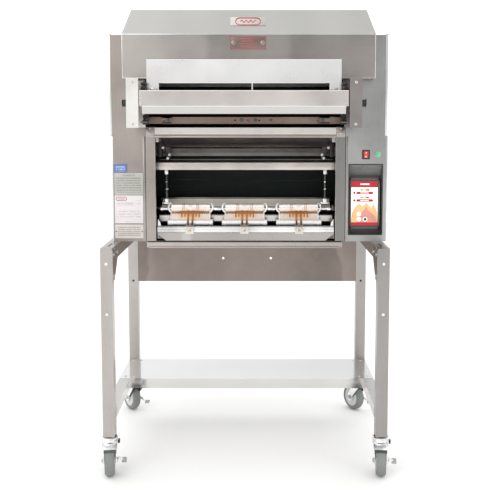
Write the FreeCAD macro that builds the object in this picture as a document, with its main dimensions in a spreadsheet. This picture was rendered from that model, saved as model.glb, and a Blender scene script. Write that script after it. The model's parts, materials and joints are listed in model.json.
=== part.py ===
import FreeCAD, Part
import math
import os
import re
import Sketcher

# Conveyor broiler on a caster stand. X is to the right, Y to the back and Z up.
# The origin is on the floor under the middle of the stand. Sizes are millimetres.

DIMENSIONS = {
    # stand of square tube
    "stand_width": 930,
    "stand_depth": 620,
    "stand_top": 746,
    "tube": 38.1,
    "tube_wall": 1.6,
    "top_rail_height": 45,
    "lower_rail_top": 216,
    "leg_hole_radius": 4,
    "leg_hole_drop": 50,
    "leg_hole_pitch": 165,
    "gusset_height": 107,
    "gusset_length": 96,
    "apron_bottom": 529,
    "apron_hole_offset": 93,
    "apron_hole_height": 620,
    "shelf_front": 20,
    "shelf_hem": 36,
    # sheet metal
    "sheet": 1.5,
    "plate": 2.5,
    "gap": 0.3,
    # casters
    "wheel_radius": 51,
    "wheel_width": 32,
    "caster_height": 122,
    "caster_trail": 32,
    "collar_radius": 27,
    "collar_height": 20,
    "fork_inside": 36,
    "axle_radius": 4,
    "pedal_reach": 49,
    # body
    "body_front": -142,
    "body_back": 290,
    "body_seam": 1103,
    "light_bar_bottom": 1098.5,
    "light_bar_height": 33,
    "crossmember_bottom": 1144,
    "crossmember_top": 1167,
    "crossmember_setback": 34,
    "body_top": 1439,
    "lower_left": -450,
    "lower_right": 479,
    "upper_left": -456,
    "upper_right": 476,
    "chamber_half": 337.5,
    "post_width": 31,
    "post_depth": 30,
    "post_top": 1132,
    # hood
    "hood_left": -403,
    "hood_right": 427,
    "hood_front": -198,
    "hood_bottom": 1293,
    "hood_knee": 1436,
    "hood_slope_back": -153,
    "hood_taper": 26,
    "hood_top": 1519,
    "exhaust_slot_width": 30,
    "exhaust_slot_pitch": 46,
    "exhaust_slot_left": -190,
    "exhaust_slot_front": 110,
    "exhaust_slot_back": 250,
    "vent_half": 180,
    "vent_drop": 250,
    "vent_pitch": 22,
    "vent_height": 8,
    # loader
    "loader_front": -310,
    "bracket_width": 39,
    "bracket_bottom": 1132,
    "bracket_top": 1288,
    "bracket_left": -374.5,
    "bracket_right": 370.5,
    "beam_left": -333,
    "beam_right": 328,
    "beam_bottom": 1200,
    "beam_top": 1249,
    "beam_lip": 24,
    "chute_front": -226,
    "chute_left": -320,
    "chute_right": 313,
    "chute_top": 1352,
    "chute_bottom": 1188,
    "divider_left": 21,
    "divider_width": 4,
    "slot_left": -280,
    "slot_right": 274,
    "slot_bottom": 1240,
    "slot_top": 1277,
    "knob_radius": 12.5,
    "knob_depth": 16,
    "knob_setback": 24,
    "knob_height": 1210,
    # controls
    "recess_left": 348,
    "recess_right": 464,
    "recess_bottom": 768,
    "recess_top": 1009,
    "recess_depth": 42,
    "screen_left": 355,
    "screen_right": 457,
    "screen_bottom": 786,
    "screen_top": 962,
    "rocker_middle": 406,
    "rocker_height": 1041,
    "rocker_width": 26,
    "rocker_length": 31,
    "lamp_middle": 447,
    "lamp_radius": 8.5,
    # inside the chamber
    "roller_radius": 11,
    "roller_height": 851,
    "roller_front": -50,
    "roller_back": 225,
    "belt_half": 285,
    "belt_clearance": 0.6,
    "belt_thickness": 2.4,
    "guide_width": 155,
    "guide_pitch": 186,
    "guide_centre": -4,
    "guide_roll": 7,
    "trough_half": 300,
    "trough_top": 790,
    "tray_left": -335,
    "tray_right": 328,
    "tray_bottom": 722,
    "tray_back": 210,
    "baffle_front_height": 1100,
    "baffle_back_height": 1062,
    "baffle_bottom": 1030,
    "baffle_back": 20,
    "shield_bottom": 880,
    "shield_top": 1230,
    "shield_back": 62,
    "burner_half": 270,
    "burner_front": 70,
    "burner_back": 220,
    "burner_bottom": 1036,
    "burner_top": 1070,
    "gas_across": -250,
    "gas_height": 830,
    "gas_radius": 13.3,
    "gas_bore": 10.5,
    "nut_radius": 20,
    "flap_top": 1011,
    "flap_height": 26,
}

PLANES = {"x": "YZ_Plane", "y": "XZ_Plane", "z": "XY_Plane"}
TURNS = {
    "x": FreeCAD.Rotation(FreeCAD.Vector(0, 1, 0), 90),
    "y": FreeCAD.Rotation(FreeCAD.Vector(1, 0, 0), -90),
    "z": FreeCAD.Rotation(),
}
SIDES = {"left": -1, "right": 1}
ENDS = {"front": -1, "rear": 1}

doc = FreeCAD.newDocument("ConveyorBroiler")
sub_parts = []


def fill_sheet():
    """Puts the driving dimensions into the sheet, one row for each."""
    sheet = doc.addObject("Spreadsheet::Sheet", "Dims")
    for row, (name, value) in enumerate(DIMENSIONS.items(), 1):
        sheet.set("A%d" % row, name)
        sheet.set("B%d" % row, str(value))
        sheet.setAlias("B%d" % row, name)
    doc.recompute()


def bound(expression):
    """The expression with every driving dimension's name led back to the sheet."""
    def sheet_name(match):
        word = match.group(0)
        return "Dims." + word if word in DIMENSIONS else word
    return re.sub(r"[a-z]+(?:_[a-z]+)*", sheet_name, str(expression))


def move(item, position):
    """Binds the item's place to three expressions."""
    for letter, value in zip("xyz", position):
        item.setExpression("Placement.Base." + letter, bound(value))


def block(x_span, y_span, z_span):
    """A box between two values on each axis."""
    item = doc.addObject("Part::Box", "Block")
    for side, (low, high) in zip(("Length", "Width", "Height"), (x_span, y_span, z_span)):
        item.setExpression(side, bound("(%s) - (%s)" % (high, low)))
    move(item, (x_span[0], y_span[0], z_span[0]))
    return item


def rod(axis, span, centre, radius):
    """A round bar along one axis, with its centre given on the other two axes in order."""
    item = doc.addObject("Part::Cylinder", "Rod")
    item.setExpression("Radius", bound(radius))
    item.setExpression("Height", bound("(%s) - (%s)" % (span[1], span[0])))
    item.Placement = FreeCAD.Placement(FreeCAD.Vector(), TURNS[axis])
    position = list(centre)
    position.insert("xyz".index(axis), span[0])
    move(item, position)
    return item


def joined(*pieces):
    """One solid from pieces that overlap or touch."""
    item = doc.addObject("Part::MultiFuse", "Joined")
    item.Shapes = list(pieces)
    item.Refine = True
    return item


def less(base, *tools):
    """The base with every tool cut away."""
    item = doc.addObject("Part::Cut", "Less")
    item.Base = base
    item.Tool = joined(*tools) if len(tools) > 1 else tools[0]
    return item


def common(first, second):
    """The space that two items share."""
    item = doc.addObject("Part::Common", "Common")
    item.Base = first
    item.Tool = second
    return item


def mirrored(item):
    """The item reflected from front to back."""
    copy = doc.addObject("Part::Mirroring", "Mirrored")
    copy.Source = item
    copy.Normal = FreeCAD.Vector(0, 1, 0)
    return copy


def closed_outline(sketch, outline, spread):
    """Draws one closed outline whose corners are bound to pairs of expressions."""
    count = len(outline)
    first = sketch.GeometryCount
    corners = [
        FreeCAD.Vector(spread * math.cos(2 * math.pi * i / count),
                       spread * math.sin(2 * math.pi * i / count), 0)
        for i in range(count)
    ]
    for i in range(count):
        sketch.addGeometry(Part.LineSegment(corners[i], corners[(i + 1) % count]), False)
    for i in range(count):
        after = first + (i + 1) % count
        sketch.addConstraint(Sketcher.Constraint("Coincident", first + i, 2, after, 1))
    for i, (across, along) in enumerate(outline):
        line = first + i
        for kind, value, drawn in (("DistanceX", across, corners[i].x),
                                   ("DistanceY", along, corners[i].y)):
            number = sketch.addConstraint(Sketcher.Constraint(kind, -1, 1, line, 1, drawn))
            sketch.setExpression("Constraints[%d]" % number, bound(value))


def attached_sketch(body, plane):
    """A sketch on one of the body's own origin planes."""
    sketch = body.newObject("Sketcher::SketchObject", "Outline")
    face = next(item for item in body.Origin.OriginFeatures if item.Role == plane)
    sketch.AttachmentSupport = [(face, "")]
    sketch.MapMode = "FlatFace"
    return sketch


def extrusion(axis, span, *outlines):
    """A body with the outlines padded along an axis. Outlines after the first are holes.

    Outline pairs are (Y, Z) along x, (X, Z) along y and (X, Y) along z.
    """
    body = doc.addObject("PartDesign::Body", "Profile")
    sketch = attached_sketch(body, PLANES[axis])
    for number, outline in enumerate(outlines):
        closed_outline(sketch, outline, 20 - 8 * number)
    start = "-(%s)" % span[1] if axis == "y" else span[0]
    sketch.setExpression("AttachmentOffset.Base.z", bound(start))
    pad = body.newObject("PartDesign::Pad", "Pad")
    pad.Profile = sketch
    pad.setExpression("Length", bound("(%s) - (%s)" % (span[1], span[0])))
    return body


def turned(outline, axis="z", position=(0, 0, 0)):
    """A body of revolution from (radius, height) pairs, with its height along the axis."""
    body = doc.addObject("PartDesign::Body", "Turned")
    sketch = attached_sketch(body, "XZ_Plane")
    closed_outline(sketch, outline, 20)
    spin = body.newObject("PartDesign::Revolution", "Revolution")
    spin.Profile = sketch
    spin.ReferenceAxis = (sketch, ["V_Axis"])
    spin.Angle = 360
    body.Placement = FreeCAD.Placement(FreeCAD.Vector(), TURNS[axis])
    move(body, position)
    return body


def rectangle(low_across, high_across, low_along, high_along):
    """The four corners of an outline."""
    return [(low_across, low_along), (high_across, low_along),
            (high_across, high_along), (low_across, high_along)]


def sub_part(label, item, position=None, turn=0):
    """Names a sub-part, and places it if it was drawn in a frame of its own."""
    item.Label = label
    if position:
        item.Placement = FreeCAD.Placement(
            FreeCAD.Vector(), FreeCAD.Rotation(FreeCAD.Vector(0, 0, 1), turn))
        move(item, position)
    sub_parts.append(item)


def outer_to_inner(sign, outer, inner):
    """A rising span between two distances from the middle, on one side of it."""
    return ("-(%s)" % outer, "-(%s)" % inner) if sign < 0 else (inner, outer)


# ---------------------------------------------------------------- stand

def legs():
    """Four capped square tubes, with two adjusting holes through front and back walls."""
    for end, y_sign in ENDS.items():
        for side, x_sign in SIDES.items():
            x_span = outer_to_inner(x_sign, "stand_width/2", "stand_width/2 - tube")
            y_span = outer_to_inner(y_sign, "stand_depth/2", "stand_depth/2 - tube")
            tube = extrusion(
                "z", ("caster_height", "stand_top"),
                rectangle(*x_span, *y_span),
                rectangle(x_span[0] + "+ tube_wall", x_span[1] + "- tube_wall",
                          y_span[0] + "+ tube_wall", y_span[1] + "- tube_wall"))
            foot = block(x_span, y_span, ("caster_height", "caster_height + 4"))
            cap = block(x_span, y_span, ("stand_top - tube_wall", "stand_top"))
            middle = "%d * (stand_width/2 - tube/2)" % x_sign
            holes = [
                rod("y", (y_span[0] + "- 1", y_span[1] + "+ 1"),
                    (middle, "stand_top - leg_hole_drop - %d * leg_hole_pitch" % number),
                    "leg_hole_radius")
                for number in range(2)
            ]
            sub_part("leg_%s_%s" % (end, side), less(joined(tube, foot, cap), *holes))


def side_rails():
    """Top and lower rails from front leg to rear leg. The top ones have two fixing slots."""
    y_span = ("-(stand_depth/2 - tube)", "stand_depth/2 - tube")
    for side, sign in SIDES.items():
        x_span = outer_to_inner(sign, "stand_width/2", "stand_width/2 - tube")
        x_inside = (x_span[0] + "+ tube_wall", x_span[1] + "- tube_wall")
        top = extrusion(
            "y", y_span,
            rectangle(*x_span, "stand_top - top_rail_height", "stand_top"),
            rectangle(*x_inside, "stand_top - top_rail_height + tube_wall",
                      "stand_top - tube_wall"))
        middle = "%d * (stand_width/2 - tube/2)" % sign
        slots = [
            block((middle + "- 4", middle + "+ 4"),
                  ("-stand_depth/2 + tube + %d" % start, "-stand_depth/2 + tube + %d" % (start + 22)),
                  ("stand_top - 3", "stand_top + 1"))
            for start in (14, 52)
        ]
        sub_part("top_rail_%s" % side, less(top, *slots))
        lower = extrusion(
            "y", y_span,
            rectangle(*x_span, "lower_rail_top - tube", "lower_rail_top"),
            rectangle(*x_inside, "lower_rail_top - tube + tube_wall",
                      "lower_rail_top - tube_wall"))
        sub_part("lower_rail_%s" % side, lower)


def gussets():
    """Thin plates on the inner faces that tie each front leg to its top rail."""
    for side, sign in SIDES.items():
        x_span = outer_to_inner(sign, "stand_width/2 - tube", "stand_width/2 - tube - plate")
        outline = [
            ("-stand_depth/2", "stand_top - gusset_height"),
            ("-stand_depth/2 + tube", "stand_top - gusset_height"),
            ("-stand_depth/2 + gusset_length", "stand_top - top_rail_height"),
            ("-stand_depth/2 + gusset_length", "stand_top - 6"),
            ("-stand_depth/2", "stand_top - 6"),
        ]
        sub_part("gusset_%s" % side, extrusion("x", x_span, outline))


def apron():
    """Sheet between the rear legs, with returns at both ends and a hem along the bottom."""
    half = "stand_width/2 - tube"
    face = "stand_depth/2 - tube"
    bottom = "apron_bottom"
    sheet = block(("-(%s)" % half, half), (face, face + "+ sheet"), (bottom, "stand_top"))
    hem = block(("-(%s)" % half, half), (face, face + "+ 20"), (bottom, bottom + "+ sheet"))
    returns = []
    for sign in SIDES.values():
        x_span = outer_to_inner(sign, half, half + "- sheet")
        returns.append(block(x_span, (face, face + "+ 30"), (bottom, "stand_top")))
    holes = [
        rod("y", (face + "- 1", face + "+ 5"), ("%d * apron_hole_offset" % sign, "apron_hole_height"), 4.5)
        for sign in SIDES.values()
    ]
    sub_part("apron", less(joined(sheet, hem, *returns), *holes))


def undershelf():
    """Half-depth shelf on the lower rails, with hems that hang between them."""
    x_span = ("-(stand_width/2 - 2)", "stand_width/2 - 2")
    hem_span = ("-(stand_width/2 - tube - 1)", "stand_width/2 - tube - 1")
    back = "stand_depth/2 - tube - 2"
    bottom = "lower_rail_top - shelf_hem"
    plate = block(x_span, ("shelf_front", back), ("lower_rail_top", "lower_rail_top + sheet"))
    front = block(hem_span, ("shelf_front", "shelf_front + sheet"), (bottom, "lower_rail_top + sheet"))
    rear = block(hem_span, (back + "- sheet", back), (bottom, "lower_rail_top + sheet"))
    lip = block(hem_span, ("shelf_front", "shelf_front + 12"), (bottom, bottom + "+ sheet"))
    sub_part("undershelf", joined(plate, front, rear, lip))


# ---------------------------------------------------------------- casters

def caster_fork():
    """Collar, fork plates with a shoulder, and an axle with its nut, about the swivel axis."""
    half = "fork_inside/2"
    collar = turned([
        (0, "caster_height - collar_height"),
        ("collar_radius - 4", "caster_height - collar_height"),
        ("collar_radius", "caster_height - collar_height + 5"),
        ("collar_radius", "caster_height - 5"),
        ("collar_radius - 4", "caster_height"),
        (0, "caster_height"),
    ])
    crown_low = "wheel_radius * 2 + 1.5"
    crown = block(("-(%s) - plate" % half, half + "+ plate"),
                  (-16, "caster_trail - 2"), (crown_low, crown_low + "+ plate"))
    cheek = [
        (-16, crown_low + "+ plate"),
        ("caster_trail - 13", "wheel_radius - 12"),
        ("caster_trail + 11", "wheel_radius - 12"),
        ("caster_trail + 15", "wheel_radius + 12"),
        ("caster_trail - 2", crown_low + "+ plate"),
    ]
    cheeks = [
        extrusion("x", outer_to_inner(sign, half + "+ plate", half), cheek)
        for sign in SIDES.values()
    ]
    centre = ("caster_trail", "wheel_radius")
    axle = rod("x", ("-(%s) - plate - 7" % half, half + "+ plate + 6"), centre, "axle_radius")
    nut = rod("x", ("-(%s) - plate - 6" % half, "-(%s) - plate" % half), centre, 7.5)
    return joined(collar, crown, *cheeks, axle, nut)


def caster_wheel():
    """Hub and tread turned about the X axis, with web holes and a running fit on the axle."""
    tread = "wheel_width/2"
    hub = "wheel_width/2 + 1"
    holes = [
        rod("x", ("-(%s)" % tread, tread),
            ("caster_trail + %.4f" % (24.5 * math.cos(angle)),
             "wheel_radius + %.4f" % (24.5 * math.sin(angle))), 4.5)
        for angle in (2 * math.pi * number / 5 for number in range(5))
    ]
    wheel = turned([
        ("axle_radius + 0.06", "-(%s)" % hub),
        (14, "-(%s)" % hub),
        (16, "-(%s) + 7" % tread),
        (33, "-(%s) + 7" % tread),
        (37, "-(%s)" % tread),
        ("wheel_radius - 5", "-(%s)" % tread),
        ("wheel_radius", "-(%s) + 7" % tread),
        ("wheel_radius", "%s - 7" % tread),
        ("wheel_radius - 5", tread),
        (37, tread),
        (33, "%s - 7" % tread),
        (16, "%s - 7" % tread),
        (14, hub),
        ("axle_radius + 0.06", hub),
    ], axis="x", position=(0, "caster_trail", "wheel_radius"))
    return less(wheel, *holes)


def caster_pedal():
    """Side lever that turns on the axle's right end, with a small foot pad."""
    face = "fork_inside/2 + plate + gap"
    centre = ("caster_trail", "wheel_radius")
    boss = rod("x", (face, face + "+ 4"), centre, 10)
    arm = extrusion("x", (face, face + "+ 4"), [
        ("caster_trail - 6", "wheel_radius + 8"),
        ("caster_trail - 44", "wheel_radius - 6"),
        ("caster_trail - 44", "wheel_radius - 14"),
        ("caster_trail", "wheel_radius - 9"),
    ])
    pad = block((face, "pedal_reach"), ("caster_trail - 60", "caster_trail - 42"),
                ("wheel_radius - 16", "wheel_radius - 8"))
    heel = block((face, face + "+ 4"), ("caster_trail - 48", "caster_trail - 40"),
                 ("wheel_radius - 16", "wheel_radius - 4"))
    bore = rod("x", (face + "- 1", face + "+ 5"), centre, "axle_radius + 0.06")
    return less(joined(boss, arm, heel, pad), bore)


def casters():
    """Four swivel casters: the front pair trails forwards, the rear pair back and to the left."""
    angles = {"front_left": 8, "front_right": -6, "rear_left": 35, "rear_right": 33}
    makers = {"fork": caster_fork, "wheel": caster_wheel, "pedal": caster_pedal}
    for end, y_sign in ENDS.items():
        for side, x_sign in SIDES.items():
            name = "%s_%s" % (end, side)
            stem = ("%d * (stand_width/2 - tube/2)" % x_sign,
                    "%d * (stand_depth/2 - tube/2)" % y_sign, 0)
            for piece, make in makers.items():
                item = make() if end == "rear" else mirrored(make())
                sub_part("caster_%s_%s" % (piece, name), item, stem, angles[name])


# ---------------------------------------------------------------- body

def shell(x_span, y_span, z_span):
    """A closed box of sheet metal."""
    inside = [("%s + sheet" % low, "%s - sheet" % high) for low, high in (x_span, y_span, z_span)]
    return less(block(x_span, y_span, z_span), block(*inside))


def cabinets():
    """Closed side cabinets in two storeys. The lower right one takes the controls."""
    depth = ("body_front", "body_back")
    lower = ("stand_top", "body_seam")
    upper = ("body_seam", "body_top")
    inner_left = "-chamber_half"
    sub_part("lower_cabinet_left", shell(("lower_left", inner_left), depth, lower))
    sub_part("upper_cabinet_left", shell(("upper_left", inner_left), depth, upper))
    sub_part("upper_cabinet_right", shell(("chamber_half", "upper_right"), depth, upper))
    box = shell(("chamber_half", "lower_right"), depth, lower)
    front = ("body_front - 1", "body_front + 5")
    window = block(("recess_left - gap", "recess_right + gap"), front,
                   ("recess_bottom - gap", "recess_top + gap"))
    rocker = block(
        ("rocker_middle - rocker_width/2 + 2 - gap", "rocker_middle + rocker_width/2 - 2 + gap"),
        front,
        ("rocker_height - rocker_length/2 + 2 - gap", "rocker_height + rocker_length/2 - 2 + gap"))
    lamp = rod("y", front, ("lamp_middle", "rocker_height"), "lamp_radius - 2 + gap")
    sub_part("lower_cabinet_right", less(box, window, rocker, lamp))


def back_and_floor():
    """Rear panel with vent slots, and the floor pan between the cabinets."""
    panel = block(("-chamber_half + gap", "chamber_half - gap"), ("body_back - sheet", "body_back"),
                  ("stand_top + sheet", "body_top"))
    vents = [
        block(("-vent_half", "vent_half"), ("body_back - 5", "body_back + 5"),
              ("body_top - vent_drop - %d * vent_pitch" % row,
               "body_top - vent_drop - %d * vent_pitch + vent_height" % row))
        for row in range(6)
    ]
    sub_part("rear_panel", less(panel, *vents))
    floor = block(("-chamber_half + gap", "chamber_half - gap"), ("body_front", "body_back"),
                  ("stand_top", "stand_top + sheet"))
    sub_part("floor_pan", floor)


def frame_posts():
    """Two box posts beside the discharge opening, standing on the floor pan."""
    for side, sign in SIDES.items():
        x_span = outer_to_inner(sign, "chamber_half - 1", "chamber_half - 1 - post_width")
        y_span = ("body_front - 2", "body_front - 2 + post_depth")
        tube = extrusion(
            "z", ("stand_top + sheet", "post_top"),
            rectangle(*x_span, *y_span),
            rectangle(x_span[0] + "+ sheet", x_span[1] + "- sheet",
                      y_span[0] + "+ sheet", y_span[1] + "- sheet"))
        sub_part("frame_post_" + side, tube)


def hood_block(inset, underside, face):
    """The hood's outline from the side and from the front, both set in by the same amount."""
    side_view = extrusion("x", ("hood_left - 1", "hood_right + 1"), [
        ("hood_front + %s" % inset, "hood_bottom - %s" % underside),
        ("hood_front + %s" % inset, "hood_knee - %s/2" % inset),
        ("hood_slope_back + %s/2" % inset, "hood_top - %s" % inset),
        ("body_back - %s" % inset, "hood_top - %s" % inset),
        ("body_back - %s" % inset, "body_top - %s" % underside),
        ("body_front + %s" % face, "body_top - %s" % underside),
        ("body_front + %s" % face, "hood_bottom - %s" % underside),
    ])
    front_view = extrusion("y", ("hood_front - 1", "body_back + 1"), [
        ("hood_left + %s" % inset, "hood_bottom - %s" % underside),
        ("hood_right - %s" % inset, "hood_bottom - %s" % underside),
        ("hood_right - %s" % inset, "hood_knee - %s/2" % inset),
        ("hood_right - hood_taper - %s/2" % inset, "hood_top - %s" % inset),
        ("hood_left + hood_taper + %s/2" % inset, "hood_top - %s" % inset),
        ("hood_left + %s" % inset, "hood_knee - %s/2" % inset),
    ])
    return common(side_view, front_view)


def hood():
    """Sheet hood with upright sides, a chamfered brow and shoulders, and exhaust slots on top."""
    slots = [
        block(("exhaust_slot_left + %d * exhaust_slot_pitch" % column,
               "exhaust_slot_left + %d * exhaust_slot_pitch + exhaust_slot_width" % column),
              ("exhaust_slot_front", "exhaust_slot_back"), ("hood_top - 5", "hood_top + 5"))
        for column in range(9)
    ]
    sub_part("hood", less(hood_block("0", "0", "0"), hood_block("sheet", "5", "5"), *slots))


def front_bars():
    """Light bar over the opening, and the drilled crossmember above and behind it."""
    reach = "chamber_half - 1 - post_width - gap"
    light = extrusion(
        "x", ("-(%s)" % reach, reach),
        rectangle("body_front - 2", "body_front + 20",
                  "light_bar_bottom", "light_bar_bottom + light_bar_height"),
        rectangle("body_front - 2 + sheet", "body_front + 20 - sheet",
                  "light_bar_bottom + sheet", "light_bar_bottom + light_bar_height - sheet"))
    sub_part("light_bar", light)
    span = ("-chamber_half + 2", "chamber_half - 2")
    face = "body_front + crossmember_setback"
    web = block(span, (face, face + "+ plate"), ("crossmember_bottom", "crossmember_top"))
    ledge = block(span, (face, face + "+ 18"), ("crossmember_top - plate", "crossmember_top"))
    holes = [
        rod("y", (face + "- 4", face + "+ 6"), (across, "crossmember_bottom + 12"), 3)
        for across in (-262, -36, 8, 46, 262)
    ]
    sub_part("crossmember", less(joined(web, ledge), *holes))


# ---------------------------------------------------------------- loader

def loader_brackets():
    """Channels that carry the loader, each with a front flange, a web and a foot flange."""
    for side, sign in SIDES.items():
        edge = "bracket_left" if sign < 0 else "bracket_right"
        across = (edge, edge + "+ bracket_width") if sign < 0 else (edge + "- bracket_width", edge)
        web_x = (edge, edge + "+ plate") if sign < 0 else (edge + "- plate", edge)
        height = ("bracket_bottom", "bracket_top")
        flange = block(across, ("loader_front", "loader_front + plate"), height)
        web = block(web_x, ("loader_front", "body_front"), height)
        foot = block(across, ("body_front - plate", "body_front"), height)
        stud_hole = rod("x", (web_x[0] + "- 1", web_x[1] + "+ 1"),
                        ("loader_front + knob_setback", "knob_height"), 4.06)
        middle = "(%s + %s)/2" % across
        screws = [
            rod("y", ("loader_front - 2", "loader_front"), (middle, height_of_screw), 4)
            for height_of_screw in ("bracket_bottom + 12", "bracket_top - 13")
        ]
        sub_part("loader_bracket_" + side, joined(less(joined(flange, web, foot), stud_hole), *screws))


def loader_knobs():
    """Lobed thumb knobs, each with a stud through its bracket's web."""
    for side, sign in SIDES.items():
        edge = "bracket_left" if sign < 0 else "bracket_right"
        span = ((edge + "- knob_depth", edge + "- gap") if sign < 0
                else (edge + "+ gap", edge + "+ knob_depth"))
        stud_span = (edge + "- 2", edge + "+ 12") if sign < 0 else (edge + "- 12", edge + "+ 2")
        centre_y = "loader_front + knob_setback"
        head = rod("x", span, (centre_y, "knob_height"), "knob_radius")
        stud = rod("x", stud_span, (centre_y, "knob_height"), 4)
        notches = []
        for number in range(6):
            turn = math.radians(60 * number)
            notches.append(rod("x", (span[0] + "- 1", span[1] + "+ 1"),
                               ("%s + %.4f * (knob_radius + 1)" % (centre_y, math.cos(turn)),
                                "knob_height + %.4f * (knob_radius + 1)" % math.sin(turn)), 3.5))
        sub_part("loader_knob_" + side, joined(less(head, *notches), stud))


def loader_pusher():
    """Bent beam with a lower lip, end plates, and the blade that goes through the slot."""
    beam = extrusion("x", ("beam_left", "beam_right"), [
        ("loader_front", "beam_bottom"),
        ("loader_front", "beam_top"),
        ("loader_front + 22", "beam_top"),
        ("loader_front + 22", "beam_top - sheet"),
        ("loader_front + sheet", "beam_top - sheet"),
        ("loader_front + sheet", "beam_bottom"),
    ])
    lip = extrusion("x", ("beam_left + 8", "beam_right - 8"), [
        ("loader_front", "beam_bottom"),
        ("loader_front + sheet", "beam_bottom + 1"),
        ("loader_front + 11.5", "beam_bottom - beam_lip + 1"),
        ("loader_front + 10", "beam_bottom - beam_lip"),
    ])
    ends = [
        block(span, ("loader_front", "loader_front + 40"), ("beam_bottom", "beam_top"))
        for span in (("beam_left", "beam_left + sheet"), ("beam_right - sheet", "beam_right"))
    ]
    blade = block(("slot_left + 8", "slot_right - 8"), ("loader_front", "chute_front - 6"),
                  ("beam_top - 6", "beam_top - 6 + sheet"))
    sub_part("loader_pusher", joined(beam, lip, blade, *ends))


def loader_chute():
    """Slotted chute panel with returns to the hood, and the ledge behind its slot."""
    face = ("chute_front", "chute_front + sheet")
    height = ("chute_bottom", "chute_top")
    panel = block(("chute_left", "chute_right"), face, height)
    top = block(("chute_left", "chute_right"), ("chute_front", "hood_front"),
                ("chute_top - sheet", "chute_top"))
    returns = [
        block(span, ("chute_front", "hood_front"), height)
        for span in (("chute_left", "chute_left + sheet"), ("chute_right - sheet", "chute_right"))
    ]
    slot = block(("slot_left", "slot_right"), ("chute_front - 1", "chute_front + 5"),
                 ("slot_bottom", "slot_top"))
    divider = block(("divider_left", "divider_left + divider_width"), face,
                    ("beam_top + 1", "slot_top + 2"))
    sub_part("chute_panel", joined(less(joined(panel, top, *returns), slot), divider))
    ledge = block(("slot_left", "slot_right"), ("chute_front + sheet", "body_front - 2"),
                  ("slot_bottom - 5", "slot_bottom - 5 + sheet"))
    hem = block(("slot_left", "slot_right"), ("chute_front + sheet", "chute_front + 2 * sheet"),
                ("slot_bottom - 25", "slot_bottom - 5 + sheet"))
    sub_part("loader_ledge", joined(ledge, hem))


# ---------------------------------------------------------------- controls

def controls():
    """Recessed tub, touch screen, rocker switch in its bezel, and a domed lamp."""
    tub = less(
        block(("recess_left", "recess_right"), ("body_front", "body_front + recess_depth"),
              ("recess_bottom", "recess_top")),
        block(("recess_left + 2", "recess_right - 2"), ("body_front - 1", "body_front + recess_depth - 2"),
              ("recess_bottom + 2", "recess_top - 2")))
    sub_part("control_recess", tub)
    screen = block(("screen_left", "screen_right"),
                   ("body_front + recess_depth - 22", "body_front + recess_depth - 2"),
                   ("screen_bottom", "screen_top"))
    sub_part("touch_screen", screen)
    middle, height = "rocker_middle", "rocker_height"
    flange = block((middle + "- rocker_width/2", middle + "+ rocker_width/2"),
                   ("body_front - 3", "body_front"),
                   (height + "- rocker_length/2", height + "+ rocker_length/2"))
    barrel = block((middle + "- rocker_width/2 + 2", middle + "+ rocker_width/2 - 2"),
                   ("body_front - 3", "body_front + 22"),
                   (height + "- rocker_length/2 + 2", height + "+ rocker_length/2 - 2"))
    well = block((middle + "- 8.5", middle + "+ 8.5"), ("body_front - 4", "body_front + 14"),
                 (height + "- 12.5", height + "+ 12.5"))
    sub_part("rocker_bezel", less(joined(flange, barrel), well))
    rocker = extrusion("x", (middle + "- 8", middle + "+ 8"), [
        ("body_front - 2", height + "- 11.5"),
        ("body_front - 4", height),
        ("body_front - 6.5", height + "+ 11.5"),
        ("body_front + 3", height + "+ 10.5"),
        ("body_front + 8", height),
        ("body_front + 5", height + "- 10.5"),
    ])
    pivot = rod("x", (middle + "- 8.4", middle + "+ 8.4"), ("body_front + 3", height), 1.5)
    sub_part("rocker_switch", joined(rocker, pivot))
    lamp = turned([
        (0, -20), ("lamp_radius - 2", -20), ("lamp_radius - 2", 0), ("lamp_radius", 0),
        ("lamp_radius", 3), ("lamp_radius - 2", 6), ("lamp_radius - 5", 8), (0, 8.5),
    ])
    lamp.Placement = FreeCAD.Placement(
        FreeCAD.Vector(), FreeCAD.Rotation(FreeCAD.Vector(1, 0, 0), 90))
    move(lamp, ("lamp_middle", "body_front", "rocker_height"))
    sub_part("indicator_lamp", lamp)


# ---------------------------------------------------------------- chamber

def chamber_sheets():
    """Sloping baffle over the opening, and the dark shield at the back of it."""
    span = ("-chamber_half + 1", "chamber_half - 1")
    baffle = extrusion("x", span, [
        ("body_front + 30", "baffle_front_height - plate"), ("body_front + 30", "baffle_front_height"),
        ("baffle_back", "baffle_back_height"), ("baffle_back", "baffle_bottom"),
        ("baffle_back - sheet", "baffle_bottom"), ("baffle_back - sheet", "baffle_back_height - sheet"),
    ])
    sub_part("baffle", baffle)
    shield = block(span, ("shield_back - plate", "shield_back"), ("shield_bottom", "shield_top"))
    foot = block(span, ("shield_back - 22", "shield_back"), ("shield_bottom", "shield_bottom + plate"))
    sub_part("heat_shield", joined(shield, foot))


def discharge_flap():
    """Light cross bar that hangs from a rolled hinge edge across the opening."""
    reach = "chamber_half - 3 - post_width"
    hinge_y = "body_front + 56"
    leaf = block(("-(%s)" % reach, reach), (hinge_y + "- 1", hinge_y + "+ 1"),
                 ("flap_top - flap_height", "flap_top"))
    roll = rod("x", ("-(%s)" % reach, reach), (hinge_y, "flap_top"), 4)
    toe = block(("-(%s)" % reach, reach), (hinge_y + "- 1", hinge_y + "+ 9"),
                ("flap_top - flap_height", "flap_top - flap_height + 2"))
    pins = rod("x", ("-chamber_half + 0.5", "chamber_half - 0.5"), (hinge_y, "flap_top"), 2.5)
    sub_part("discharge_flap", joined(leaf, roll, toe, pins))


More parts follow.
